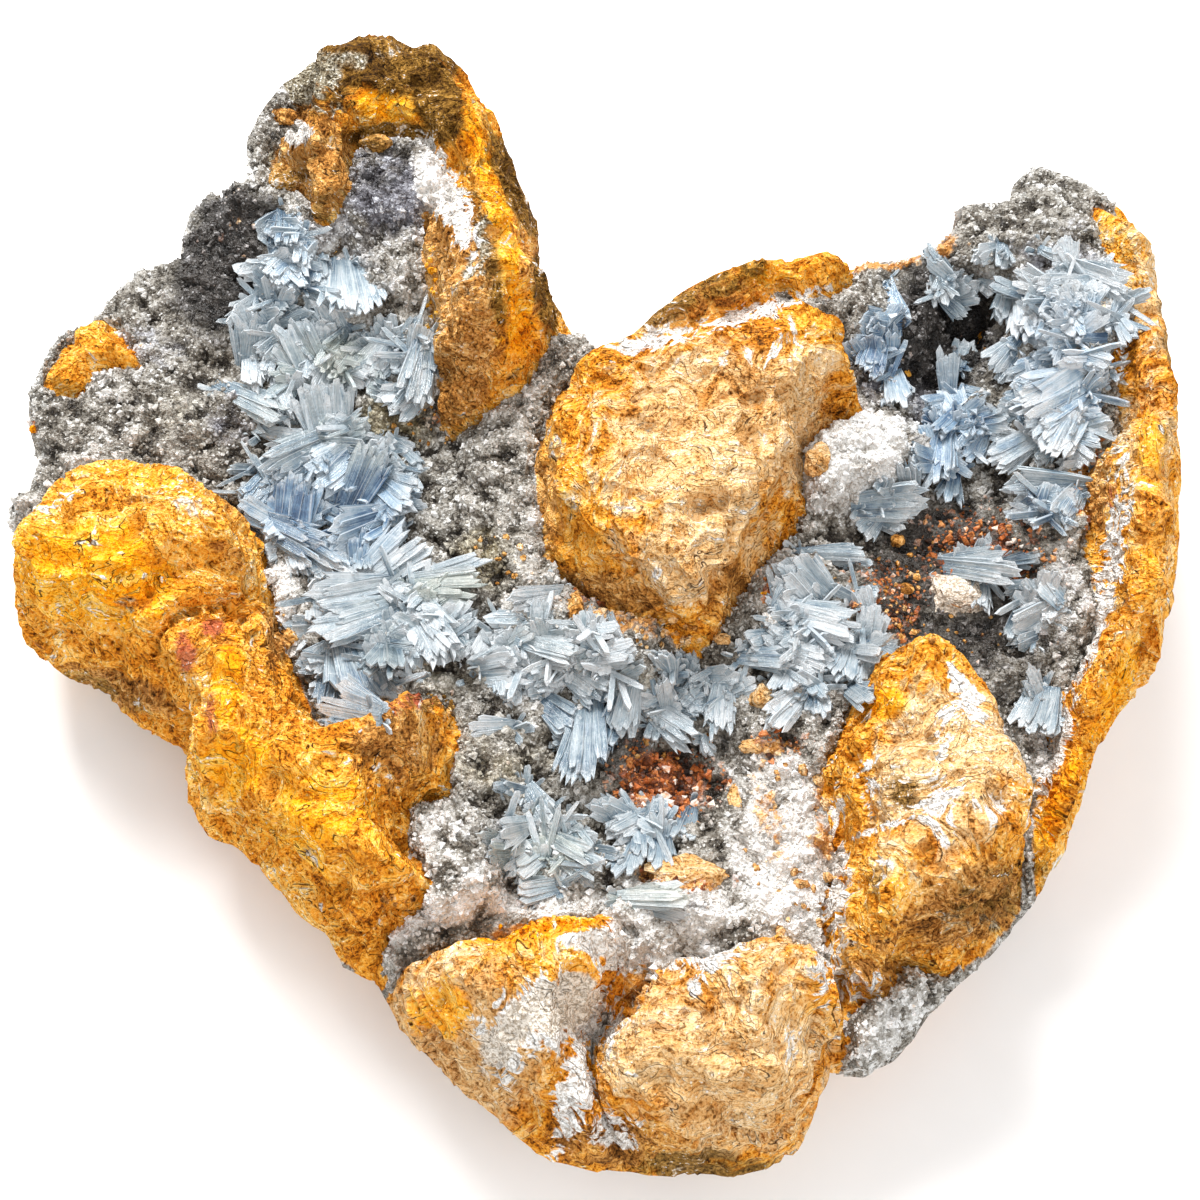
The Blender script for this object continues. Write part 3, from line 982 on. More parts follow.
def sugarTree():
    # swells the layer into buttons and beads, then sets crystals on it where the density says
    tree = Shaper("sugary druse", {
        "Button Size": "Float", "Button Height": "Float", "Bead Size": "Float", "Bead Height": "Float",
        "Crystals": "Collection", "Crystal Size": "Float", "Density": "Float", "Density Field": "String",
        "Keep Layer": "Bool", "Seed": "Int", "Material": "Material"})
    spot = tree.add("GeometryNodeInputPosition")
    normal = tree.add("GeometryNodeInputNormal")
    bent = tree.vector("ADD", spot, tree.scaled(tree.grain(spot, 150.0, 2.0, out=1), 0.004))
    button = tree.cells(bent, 1.0 / tree.input("Button Size"))
    bead = tree.cells(bent, 1.0 / tree.input("Bead Size"))
    height = (0.45 - button * button * 1.3) * tree.input("Button Height")
    height = height + (0.45 - bead * bead * 1.3) * tree.input("Bead Height")
    height = height + (tree.grain(spot, 60.0, 3.0) - 0.5) * 0.006
    sockets = {"Geometry": tree.input("Geometry"), "Offset": tree.scaled(normal, height * tree.field("rough"))}
    layer = tree.store(tree.input("Geometry"), "gap", button * 0.65 + bead * 0.35)
    sockets["Geometry"] = layer
    layer = tree.add("GeometryNodeSetPosition", None, sockets)
    layer = tree.store(layer, "sunk", cavity(tree, 6) * 260.0)
    layer = tree.store(layer, "hue", 0.30)
    density = tree.add("GeometryNodeInputNamedAttribute", {"data_type": "FLOAT"}, {
        "Name": tree.input("Density Field")}) * tree.input("Density")
    sockets = {"Mesh": layer, "Density": density, "Seed": tree.input("Seed"),
               "Selection": tree.field("rough") - 0.5}
    points = tree.add("GeometryNodeDistributePointsOnFaces", None, sockets)
    sockets = {"Collection": tree.input("Crystals"), "Separate Children": True, "Reset Children": True}
    shapes = tree.add("GeometryNodeCollectionInfo", None, sockets)
    spin = tree.add("ShaderNodeCombineXYZ", None, {
        "X": tree.chance(-0.9, 0.9, 1), "Y": tree.chance(-0.9, 0.9, 2), "Z": tree.chance(0.0, 6.28, 3)})
    turn = tree.add("FunctionNodeRotateRotation", {"rotation_space": "LOCAL"}, {
        "Rotation": tree.other(points, "Rotation"), "Rotate By": spin})
    size = tree.input("Crystal Size") * (0.6 + tree.chance(0.0, 1.0, 4) ** 3.0 * 1.3)
    sockets = {"Points": points, "Instance": shapes, "Pick Instance": True, "Rotation": turn, "Scale": size}
    crystals = tree.add("GeometryNodeInstanceOnPoints", None, sockets)
    crystals = tree.store(crystals, "hue", tree.chance(0.2, 1.0, 5), domain="INSTANCE")
    crystals = tree.add("GeometryNodeRealizeInstances", None, {"Geometry": crystals})
    both = tree.add("GeometryNodeJoinGeometry")
    for part in (layer, crystals):
        tree.nodeTree.links.new(part.socket, both.socket.node.inputs[0])
    tree.finishWith(tree.add("GeometryNodeSwitch", {"input_type": "GEOMETRY"}, {
        "Switch": tree.input("Keep Layer"), "False": crystals, "True": both}))
    return tree


def druseFinish():
    f = Finish("grey druse")
    where = f.where
    broad = f.grain(where, 30.0, 2.0, 0.6)
    blotches = f.grain(where, 130.0, 3.0, 0.65)
    small = f.grain(where, 900.0, 2.0, 0.7)
    hue = f.field("hue")
    value = 0.65 + (hue - 0.6) * 0.6 + (small - 0.5) * 0.9 + (blotches - 0.5) * 0.8 + (broad - 0.5) * 0.5
    low = (f.field("gap") - 0.30) * 0.7 + f.rise(f.field("sunk"), 0.0, 0.7) * 0.30
    value = value - low * (1.0 - f.rise(f.field("white"), 0.2, 1.2) * 0.55)
    colour = f.ramp(value, [
        (0.05, tone(40, 33, 25)), (0.24, tone(98, 91, 80)), (0.42, tone(160, 155, 146)),
        (0.62, tone(208, 206, 201)), (0.90, tone(245, 244, 242))])
    patchy = (blotches - 0.5) * 1.4 + (broad - 0.5) * 1.2 + (hue - 0.5) * 0.3
    olive = f.ramp(value, [
        (0.05, tone(44, 34, 18)), (0.35, tone(112, 98, 66)), (0.60, tone(176, 166, 138)), (0.9, tone(226, 220, 204))])
    colour = f.mix(f.rise(f.field("olive") + patchy, 0.25, 0.85) * 0.9, colour, olive)
    violet = f.ramp(value, [
        (0.10, tone(46, 43, 50)), (0.40, tone(124, 124, 134)), (0.62, tone(182, 184, 193)),
        (0.85, tone(236, 238, 241))])
    colour = f.mix(f.rise(f.field("violet") + patchy, 0.25, 0.85) * 0.9, colour, violet)
    pale = f.ramp(value, [
        (0.05, tone(112, 98, 80)), (0.25, tone(184, 178, 170)), (0.48, tone(228, 227, 224)),
        (0.75, tone(252, 252, 252))])
    colour = f.mix(f.rise(f.field("white") + patchy, 0.30, 0.80), colour, pale)
    dark = f.ramp(value, [
        (0.15, tone(14, 11, 9)), (0.42, tone(44, 38, 33)), (0.62, tone(84, 79, 75)),
        (0.80, tone(140, 137, 136)), (0.98, tone(224, 224, 226))])
    colour = f.mix(f.rise(f.field("dark") + patchy * 0.8, 0.20, 0.80), colour, dark)
    rusty = f.rise(f.field("rust") + (hue - 0.5) * 0.7 + patchy * 0.5, 0.42, 0.80)
    colour = f.mix(rusty, colour, f.ramp(value, [
        (0.15, tone(40, 20, 10)), (0.40, tone(122, 62, 26)), (0.62, tone(186, 104, 44)), (0.9, tone(224, 160, 96))]))
    fleshy = f.rise(f.field("ochre") + patchy * 1.2, 0.45, 0.75)
    colour = f.mix(fleshy, colour, f.ramp(value, [
        (0.15, tone(112, 66, 26)), (0.40, tone(198, 134, 62)), (0.62, tone(228, 172, 100)), (0.9, tone(248, 224, 184))]))
    f.feed(Base_Color=colour, Roughness=0.34)
    f.bump((small, 0.0014))
    return f.material


def grainFinish():
    f = Finish("red-brown grains")
    small = f.grain(f.where, 700.0, 3.0, 0.6)
    value = f.field("hue") + (small - 0.5) * 0.8
    f.feed(Base_Color=f.ramp(value, [
        (0.15, tone(40, 22, 12)), (0.38, tone(112, 56, 24)), (0.58, tone(192, 100, 40)),
        (0.78, tone(226, 150, 92)), (0.98, tone(238, 226, 214))]), Roughness=0.4)
    f.bump((small, 0.0010))
    return f.material


def makeDruse():
    sheet = druseSheet()
    points = pointsOf(sheet)
    u, v = seenAt(points)
    for name in ("dark", "rust", "white", "olive", "ochre", "violet"):
        mark(sheet.data, name, patchAmount(u, v, druse[name]))
    mark(sheet.data, "rusty", np.clip(patchAmount(u, v, druse["rust"]) - 0.35, 0.0, 1.0))
    shapes = [crystalShape("point", 4, 0.10, 1.25, 0.15), crystalShape("stub", 4, 0.22, 0.85, -0.1),
              crystalShape("wedge", 4, 0.05, 1.0, 0.4)]
    collection = shapeCollection("druse crystals", shapes)
    tree = sugarTree()
    finish, redBrown = druseFinish(), grainFinish()
    sugar = newObject("druseSugar", sheet.data.copy())
    grains = newObject("rustGrains", sheet.data.copy())
    plan = ((sheet, "stubs", "rough", True, finish), (sugar, "sugar", "rough", False, finish),
            (grains, "grains", "rusty", False, redBrown))
    for number, (obj, kind, spread, layered, material) in enumerate(plan):
        size, density = druse[kind]
        tree.run(obj, **{
            "Button Size": druse["buttonSize"], "Button Height": druse["buttonHeight"],
            "Bead Size": druse["beadSize"], "Bead Height": druse["beadHeight"],
            "Crystals": collection, "Crystal Size": size, "Density": density, "Density Field": spread,
            "Keep Layer": layered, "Seed": 11 + number, "Material": material})
        setPoints(obj, np.clip(pointsOf(obj), np.array(cadBox[0]), np.array(cadBox[1])))
        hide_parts("druse_crust")
        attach(obj, "root")
        print(obj.name, "triangles:", len(obj.data.polygons))
    for shape in shapes:
        bpy.data.objects.remove(shape)
    return sheet


barite = {
    "fullness": 1.15,        # width of a spray's open end against its width in the picture
    "rootShare": 0.55,       # width of its root against that of its open end
    "lift": 0.30,            # how far a tip stands off the ground, as a share of the spray's run
    "roll": 0.35,
    "bladeWidth": 0.0019,
    "thickness": 0.0006,
    "layers": 3,
    "layerGap": 0.0009,
    "layerTurn": 0.24,
    "underCount": 7,
    "underLength": (0.003, 0.007),
    "lathLength": (0.009, 0.020),
    "seed": 7,
}

# sprays by CAD node: root spot, tip spot and the width of the open end
sprays = {
    "barite_left": [
        ((284, 212), (284, 246), 26), ((300, 256), (282, 286), 40), ((318, 256), (322, 288), 16),
        ((350, 262), (362, 314), 50), ((250, 368), (258, 310), 24), ((312, 366), (280, 322), 42),
        ((344, 336), (322, 292), 18), ((345, 342), (328, 378), 34), ((218, 388), (290, 424), 20),
        ((275, 368), (294, 424), 14), ((332, 440), (325, 380), 48), ((312, 442), (374, 446), 13),
        ((332, 442), (264, 480), 44), ((292, 530), (238, 498), 14), ((252, 520), (322, 560), 22),
        ((288, 540), (300, 472), 46), ((372, 442), (314, 488), 38), ((345, 516), (378, 442), 28),
        ((364, 476), (404, 514), 34), ((386, 520), (332, 544), 38), ((402, 526), (368, 552), 24),
        ((290, 535), (358, 578), 15), ((300, 538), (312, 484), 16), ((338, 536), (362, 524), 14),
        ((300, 565), (352, 580), 16), ((262, 431), (312, 438), 10)],
    "barite_left_back": [((398, 338), (376, 378), 34), ((426, 340), (410, 400), 28)],
    "barite_centre": [
        ((346, 594), (424, 532), 26), ((396, 590), (310, 614), 38), ((400, 606), (316, 636), 34),
        ((406, 585), (490, 582), 28), ((400, 600), (430, 664), 44), ((436, 640), (476, 610), 24),
        ((336, 646), (312, 672), 28), ((346, 636), (370, 704), 40), ((374, 716), (304, 702), 26),
        ((390, 642), (394, 700), 24), ((540, 642), (542, 598), 20), ((534, 620), (484, 620), 12),
        ((560, 592), (510, 602), 18), ((522, 640), (584, 658), 20), ((472, 674), (522, 668), 32),
        ((524, 666), (558, 690), 16), ((566, 662), (612, 690), 40), ((590, 660), (640, 650), 22),
        ((634, 676), (622, 738), 20), ((618, 704), (606, 758), 12), ((546, 702), (574, 726), 28),
        ((590, 700), (588, 786), 34), ((642, 700), (704, 740), 18), ((712, 682), (690, 712), 34),
        ((724, 680), (716, 738), 24), ((445, 600), (450, 668), 24), ((335, 675), (305, 693), 10),
        ((355, 715), (330, 738), 22), ((480, 665), (515, 650), 20), ((575, 740), (550, 745), 16),
        ((656, 722), (650, 742), 10), ((676, 724), (680, 744), 10), ((704, 736), (710, 756), 8),
        ((512, 728), (465, 732), 12), ((680, 675), (680, 655), 14)],
    "barite_middle_right": [
        ((742, 656), (792, 656), 20), ((780, 650), (828, 672), 34), ((858, 642), (850, 684), 46),
        ((868, 640), (873, 604), 24), ((780, 608), (860, 632), 24), ((820, 600), (778, 566), 46),
        ((802, 553), (868, 554), 13), ((806, 692), (772, 728), 22), ((778, 635), (742, 650), 12),
        ((850, 562), (873, 568), 8), ((772, 683), (798, 689), 10)],
    "barite_mound_fan": [((858, 506), (930, 502), 34), ((880, 520), (906, 528), 14)],
    "barite_front_left": [
        ((526, 792), (494, 786), 14), ((524, 792), (546, 830), 34), ((536, 836), (600, 874), 22),
        ((540, 850), (506, 870), 32), ((556, 884), (512, 894), 18), ((598, 850), (622, 856), 10)],
    "barite_front_middle": [((654, 812), (608, 838), 24), ((690, 808), (679, 844), 18)],
    "barite_front_plate": [((624, 899), (694, 903), 18)],
    "barite_pocket_left": [
        ((887, 280), (898, 322), 10), ((898, 326), (864, 330), 26), ((882, 334), (870, 378), 24),
        ((886, 380), (914, 394), 16)],
    "barite_pocket_back": [((935, 262), (945, 308), 22), ((940, 286), (961, 278), 10)],
    "barite_pocket": [
        ((948, 396), (944, 342), 15), ((952, 386), (980, 420), 11), ((960, 400), (924, 412), 24),
        ((938, 424), (930, 480), 34), ((984, 426), (966, 460), 26), ((960, 365), (965, 338), 20)],
    "barite_right_wall": [
        ((1012, 286), (1002, 328), 22), ((1022, 290), (1030, 338), 20), ((1084, 284), (1032, 294), 18),
        ((1074, 302), (1046, 326), 24), ((1074, 270), (1126, 294), 24), ((1100, 342), (1028, 350), 24),
        ((1020, 346), (994, 380), 32), ((1050, 360), (1008, 384), 24), ((1090, 386), (1024, 424), 62),
        ((1080, 402), (1050, 454), 40), ((1106, 364), (1056, 370), 24), ((996, 250), (972, 258), 16),
        ((1004, 244), (1006, 268), 16), ((1035, 435), (985, 462), 24), ((1074, 410), (1066, 450), 20),
        ((1088, 465), (1053, 472), 14), ((1040, 249), (1060, 258), 8), ((980, 280), (997, 291), 12)],
    "barite_right_plate": [((1086, 492), (998, 504), 34), ((1078, 494), (1060, 522), 26)],
    "barite_right_beam": [((942, 565), (1020, 575), 22), ((1000, 562), (1040, 556), 8)],
    "barite_right_fan": [
        ((1056, 592), (1044, 620), 24), ((1052, 608), (1014, 632), 24), ((1036, 638), (1012, 648), 12)],
    "barite_right_front": [((1044, 690), (1028, 734), 40)],
}

# ellipses in which small sprays stand close together: node, middle, reach each way and number
thickets = [
    ("barite_left", (300, 340), (60, 60), 44), ("barite_left", (330, 480), (78, 80), 84),
    ("barite_left", (285, 245), (26, 30), 14), ("barite_centre", (380, 630), (76, 66), 62),
    ("barite_centre", (560, 650), (90, 46), 34), ("barite_centre", (690, 700), (50, 30), 18),
    ("barite_middle_right", (822, 640), (62, 54), 34), ("barite_middle_right", (822, 682), (28, 16), 9),
    ("barite_mound_fan", (885, 500), (30, 14), 6), ("barite_front_left", (540, 850), (44, 40), 19),
    ("barite_pocket", (952, 436), (28, 36), 17), ("barite_pocket_left", (886, 348), (18, 36), 9),
    ("barite_pocket_back", (945, 282), (16, 18), 5), ("barite_right_wall", (1068, 318), (52, 48), 44),
    ("barite_right_wall", (1050, 420), (44, 38), 26), ("barite_right_plate", (1046, 508), (36, 12), 9),
    ("barite_right_fan", (1040, 606), (26, 20), 9), ("barite_right_front", (1040, 704), (14, 14), 4),
    ("barite_right_beam", (985, 570), (34, 6), 4), ("barite_front_middle", (650, 830), (40, 14), 9),
    ("barite_left_back", (400, 365), (40, 34), 20),
]


class Carrier:
    # finds the spot of the finished ground that is seen at (u, v)
    def __init__(self, *objs):
        self.trees = []
        for obj in objs:
            faces = [tuple(face.vertices) for face in obj.data.polygons]
            self.trees.append(BVHTree.FromPolygons([vert.co[:] for vert in obj.data.vertices], faces))

    def heightAt(self, u, v):
        aside = (u - picture["middle"]) / picture["reach"]
        above = (picture["middle"] - v) / picture["reach"]
        ray = (ahead + Vector((aside, 0, 0)) + upward * above).normalized()
        hits = [tree.ray_cast(eye, ray) for tree in self.trees]
        hits = [(hit[3], hit[0].z) for hit in hits if hit[0] is not None]
        return min(hits)[1] if hits else None

    def spot(self, u, v, lift=0.0, spare=None):
        # spare: the height where the ray meets nothing
        height = self.heightAt(u, v)
        height = (spare if height is None else height) + lift
        x, y = place(u, v, height)
        point = Vector((float(x), float(y), float(height)))
        return point, (point - eye).dot(ahead) / picture["reach"]


def tabletShape(name, outline, lines=1.0):
    # a thin blade along +Y, one unit long, wide and thick, with this many bundles of fine lines
    bm = bmesh.new()
    face = bm.faces.new([bm.verts.new((x, y, -0.5)) for x, y in outline])
    copied = bmesh.ops.extrude_face_region(bm, geom=[face], use_keep_orig=True)["geom"]
    moved = [item for item in copied if isinstance(item, bmesh.types.BMVert)]
    bmesh.ops.translate(bm, verts=moved, vec=(0, 0, 1))
    bmesh.ops.recalc_face_normals(bm, faces=bm.faces)
    obj = objectFrom(name, bm)
    mark(obj.data, "grain", [(v.co.x * lines, v.co.y, v.co.z) for v in obj.data.vertices], "FLOAT_VECTOR")
    return obj


def toothedEnd(teeth, slant, notch):
    # outline of a broad plate whose far end is a row of uneven teeth
    corners = [(-0.36, 0.0), (0.36, 0.0), (0.46, 0.3), (0.5, 0.75)]
    for number in range(2 * teeth + 1):
        x = 0.5 - number / (2 * teeth)
        drop = notch * (1 + number % 3) if number % 2 else 0.04 * (number % 4)
        corners.append((x, 1.0 - slant * (0.5 - x) - 0.5 * x * x - drop))
    return corners + [(-0.5, 0.6 - 0.2 * slant), (-0.44, 0.3)]


def bladeTree():
    # sets one blade at each point, turned and sized by the point's own values
    tree = Shaper("barite blades", {"Blades": "Collection", "Material": "Material"})
    sockets = {"Collection": tree.input("Blades"), "Separate Children": True, "Reset Children": True}
    shapes = tree.add("GeometryNodeCollectionInfo", None, sockets)
    points = tree.add("GeometryNodeMeshToPoints", None, {"Mesh": tree.input("Geometry")})
    turn = tree.add("FunctionNodeEulerToRotation", None, {"Euler": tree.field("turn", "FLOAT_VECTOR")})
    sockets = {"Points": points, "Instance": shapes, "Pick Instance": True, "Rotation": turn,
               "Instance Index": tree.field("pick", "INT"), "Scale": tree.field("size", "FLOAT_VECTOR")}
    tree.finishWith(tree.add("GeometryNodeInstanceOnPoints", None, sockets))
    return tree


class Blades:
    # collects blades until they are made into one mesh
    def __init__(self):
        self.spots, self.turns, self.sizes, self.hues, self.picks = [], [], [], [], []

    def add(self, start, end, facing, width, thickness, hue, pick):
        along = (end - start).normalized()
        aside = along.cross(facing).normalized()
        out = aside.cross(along)
        turn = Matrix((aside, along, out)).transposed().to_euler()
        self.spots.append(start[:])
        self.turns.append(turn[:])
        self.sizes.append((width, (end - start).length, thickness))
        self.hues.append(hue)
        self.picks.append(pick)

    def mesh(self, name):
        mesh = bpy.data.meshes.new(name)
        mesh.from_pydata(self.spots, [], [])
        mark(mesh, "turn", self.turns, "FLOAT_VECTOR")
        mark(mesh, "size", self.sizes, "FLOAT_VECTOR")
        mark(mesh, "hue", self.hues)
        mark(mesh, "pick", self.picks, "INT")
        return mesh


def addSpray(blades, carrier, rootSpot, tipSpot, width, dice, layers):
    root, scale = carrier.spot(*rootSpot)
    flatTip, scale = carrier.spot(*tipSpot, spare=root.z)
    run = min((flatTip - root).length, 0.030)
    tip, scale = carrier.spot(*tipSpot, 0.0008 + barite["lift"] * run, root.z)
    axis = tip - root
    length = min(axis.length, 0.034)
    axis.normalize()
    across = axis.cross(root - eye).normalized()
    across = Matrix.Rotation(dice.uniform(-barite["roll"], barite["roll"]), 3, axis) @ across
    facing = across.cross(axis)
    if facing.dot(eye - root) < 0:
        facing = -facing
    openWidth = width * scale * barite["fullness"]
    hue = dice.uniform(0.0, 1.0)
    for layer in range(layers):
        # a broad plate with a toothed end lies under the narrow blades
        sunk = facing * (-(layer + 0.7) * barite["layerGap"])
        swing = Matrix.Rotation(dice.uniform(-0.3, 0.3), 3, facing)
        start = root + sunk - axis * (0.1 * length)
        end = root + sunk * 1.5 + swing @ axis * (length * dice.uniform(0.75, 0.98))
        leaned = (facing + across * dice.uniform(-0.3, 0.3)).normalized()
        blades.add(start, end, leaned, openWidth * dice.uniform(0.75, 1.0), barite["thickness"] * 1.5,
                   hue + dice.uniform(-0.2, 0.2), 3 + int(dice.integers(3)))
    count = max(2, round(openWidth / barite["bladeWidth"]))
    for layer in range(layers - 1):
        swing = Matrix.Rotation(dice.uniform(-1, 1) * barite["layerTurn"] * (layer > 0), 3, facing)
        sunk = facing * (-layer * barite["layerGap"])
        for number in range(count):
            side = (number + 0.5 + dice.uniform(-0.3, 0.3)) / count - 0.5
            reach = length * (1.0 - 0.15 * (2 * side) ** 2) * dice.uniform(0.70, 1.05)
            start = root + across * (side * openWidth * barite["rootShare"]) + sunk - axis * (0.10 * length)
            end = root + swing @ (axis * reach + across * (side * openWidth)) + sunk * 1.3
            end += facing * dice.uniform(-0.0008, 0.0008)
            leaned = (facing + across * dice.uniform(-0.35, 0.35)).normalized()
            wide = openWidth / count * dice.uniform(1.0, 2.0)
            blades.add(start, end, leaned, wide, barite["thickness"] * dice.uniform(0.7, 1.5),
                       hue + dice.uniform(-0.2, 0.2), int(dice.integers(3)))


def addUnder(blades, carrier, spot, dice, count):
    # short blades that point every way round a root
    root, scale = carrier.spot(*spot)
    low, high = barite["underLength"]
    for number in range(count):
        angle = dice.uniform(0, 2 * math.pi)
        rise = dice.uniform(0.25, 1.2)
        way = Vector((math.cos(angle), math.sin(angle), rise)).normalized()
        start = root + Vector((math.cos(angle), math.sin(angle), 0)) * dice.uniform(0.0, 0.003)
        start.z -= 0.0012
        end = start + way * dice.uniform(low, high)
        facing = (eye - root).normalized() + Vector(dice.uniform(-0.8, 0.8, 3))
        blades.add(start, end, facing, dice.uniform(0.0010, 0.0028), barite["thickness"], dice.uniform(0, 1),
                   int(dice.integers(3)))


def addLaths(blades, carrier, spot, dice, count):
    # long single crystals that cross the sprays
    root, scale = carrier.spot(*spot)
    for number in range(count):
        angle = dice.uniform(0, 2 * math.pi)
        way = Vector((math.cos(angle), math.sin(angle), dice.uniform(0.12, 0.55))).normalized()
        start = root - way * 0.002 + Vector((0, 0, dice.uniform(0.0, 0.002)))
        end = start + way * dice.uniform(*barite["lathLength"])
        facing = (eye - root).normalized() + Vector(dice.uniform(-0.6, 0.6, 3))
        width = dice.uniform(0.0012, 0.0024)
        blades.add(start, end, facing, width, width * dice.uniform(0.35, 0.7), dice.uniform(0.0, 0.9),
                   int(dice.integers(3)))


def bariteFinish():
    f = Finish("blue barite")
    where = f.where
    grain = f.field("grain", "Vector")
    hue = f.field("hue")
    axes = f.add("ShaderNodeSeparateXYZ", None, {"Vector": grain})
    aside, along = f.other(axes, "X"), f.other(axes, "Y")
    lines = f.add("ShaderNodeCombineXYZ", None, {"X": aside * 6.0, "Y": along * 0.9, "Z": hue * 37.0})
    ridges = f.grain(lines, 1.0, 3.0, 0.75)
    cloud = f.grain(where, 130.0, 3.0, 0.6)
    small = f.grain(where, 900.0, 1.0, 0.6)
    depth = 0.45 + (hue - 0.5) * 0.40 + (cloud - 0.5) * 1.0 - (along - 0.5) * 0.36 + (ridges - 0.5) * 1.1
    depth = depth + f.field("blueness") * 0.14 - f.field("brightness") * 0.22
    colour = f.ramp(depth, [
        (0.05, tone(228, 233, 236)), (0.25, tone(200, 210, 216)), (0.45, tone(170, 186, 195)),
        (0.62, tone(136, 156, 170)), (0.80, tone(92, 116, 136)), (1.00, tone(48, 70, 88))])
    blue = f.ramp(depth, [
        (0.05, tone(224, 233, 242)), (0.25, tone(192, 209, 223)), (0.45, tone(160, 184, 203)),
        (0.62, tone(120, 150, 178)), (0.80, tone(78, 108, 142)), (1.00, tone(40, 66, 98))])
    colour = f.mix(f.rise(f.field("blueness") + (cloud - 0.5), 0.2, 0.9), colour, blue)
    edge = f.rise(f.maths("PINGPONG", aside, 0.5), 0.36, 0.50)
    frost = f.maths("MAXIMUM", edge * 0.5, f.rise(along + (small - 0.5) * 0.3, 0.80, 1.0) * 0.55)
    colour = f.mix(frost, colour, tone(232, 238, 242))
    cream = f.rise(f.field("creamy") + (hue - 0.5) * 0.5, 0.2, 0.9)
    colour = f.mix(cream * 0.7, colour, f.ramp(depth, [
        (0.1, tone(236, 238, 226)), (0.45, tone(196, 202, 190)), (0.85, tone(110, 122, 112))]))
    f.feed(Base_Color=colour, Roughness=0.14 + frost * 0.3)
    f.shader.inputs["IOR"].default_value = 1.64
    f.shader.inputs["Transmission Weight"].default_value = 0.22
    f.bump((ridges, 0.0007), (small, 0.0003))
    return f.material


def makeBarite(carrier):
    outlines = [
        [(-0.40, 0), (0.40, 0), (0.50, 0.35), (0.48, 0.84), (0.12, 1.0), (-0.44, 0.90), (-0.5, 0.3)],
        [(-0.42, 0), (0.38, 0), (0.50, 0.3), (0.50, 0.93), (-0.10, 1.0), (-0.50, 0.80), (-0.47, 0.3)],
        [(-0.38, 0), (0.42, 0), (0.47, 0.4), (0.50, 0.88), (0.30, 1.0), (-0.30, 0.97), (-0.50, 0.74)],
    ]
    shapes = [tabletShape("blade %d" % number, outline) for number, outline in enumerate(outlines)]
    plates = [toothedEnd(3, 0.0, 0.07), toothedEnd(4, 0.22, 0.06), toothedEnd(3, -0.15, 0.09)]
    shapes += [tabletShape("plate %d" % number, outline, 3.5) for number, outline in enumerate(plates)]
    collection = shapeCollection("barite blades", shapes)
    finish = bariteFinish()
    tree = bladeTree()
    dice = np.random.default_rng(barite["seed"])
    total = 0
    for node, fans in sprays.items():
        blades = Blades()
        for rootSpot, tipSpot, width in fans:
            addSpray(blades, carrier, rootSpot, tipSpot, width, dice, barite["layers"])
            addUnder(blades, carrier, rootSpot, dice, barite["underCount"])
        for home, (midU, midV), (reachU, reachV), count in thickets:
            if home != node:
                continue
            for number in range(count):
                angle, share = dice.uniform(0, 2 * math.pi), math.sqrt(dice.uniform(0, 1))
                u, v = midU + reachU * share * math.cos(angle), midV + reachV * share * math.sin(angle)
                turn, run = dice.uniform(0, 2 * math.pi), dice.uniform(20, 42)
                tipSpot = (u + run * math.cos(turn), v + run * math.sin(turn))
                addSpray(blades, carrier, (u, v), tipSpot, dice.uniform(10, 26), dice, 2)
                addUnder(blades, carrier, (u, v), dice, 3)
                addLaths(blades, carrier, (u, v), dice, int(dice.integers(3)))
        name = "".join(word.capitalize() for word in node.split("_"))
        obj = newObject(name[0].lower() + name[1:], blades.mesh(node))
        tree.run(obj, Blades=collection, Material=finish)
        points = np.clip(pointsOf(obj), np.array(cadBox[0]), np.array(cadBox[1]))
        setPoints(obj, points)
        u, v = seenAt(points)
        mark(obj.data, "blueness", patchAmount(u, v, blueness))
        mark(obj.data, "creamy", patchAmount(u, v, creaminess))
        mark(obj.data, "brightness", patchAmount(u, v, brightness))
        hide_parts(node)
        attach(obj, "root")
        total += triangles(obj)
    for shape in shapes:
        bpy.data.objects.remove(shape)
    print("barite:", total, "triangles")


blueness = [
    ((330, 510), (80, 50), 0, 1.0), ((880, 340), (40, 60), 0, 0.9), ((950, 430), (40, 60), 0, 0.9),
    ((1070, 370), (70, 80), 0, 0.7), ((1050, 510), (60, 30), 0, 0.5), ((290, 250), (30, 50), 0, 0.5),
    ((820, 660), (60, 50), 0, 0.3), ((350, 700), (40, 30), 0, 0.5),
]
brightness = [
    ((1060, 330), (60, 80), 0, 1.0), ((1050, 430), (60, 50), 0, 0.9), ((1050, 610), (30, 40), 0, 0.6),
    ((585, 745), (40, 50), 0, -1.0), ((330, 560), (60, 30), 0, 0.5), ((560, 650), (90, 50), 0, 0.8), ((820, 640), (60, 60), 0, 0.5),
]
creaminess = [
    ((310, 400), (90, 70), 0, 0.35), ((660, 895), (50, 16), 0, 0.9), ((400, 620), (70, 60), 0, 0.25),
    ((340, 360), (26, 22), 0, 0.8), ((450, 585), (46, 18), 0, 0.9), ((560, 650), (90, 40), 0, 0.25),
    ((540, 850), (50, 40), 0, 0.6),
]


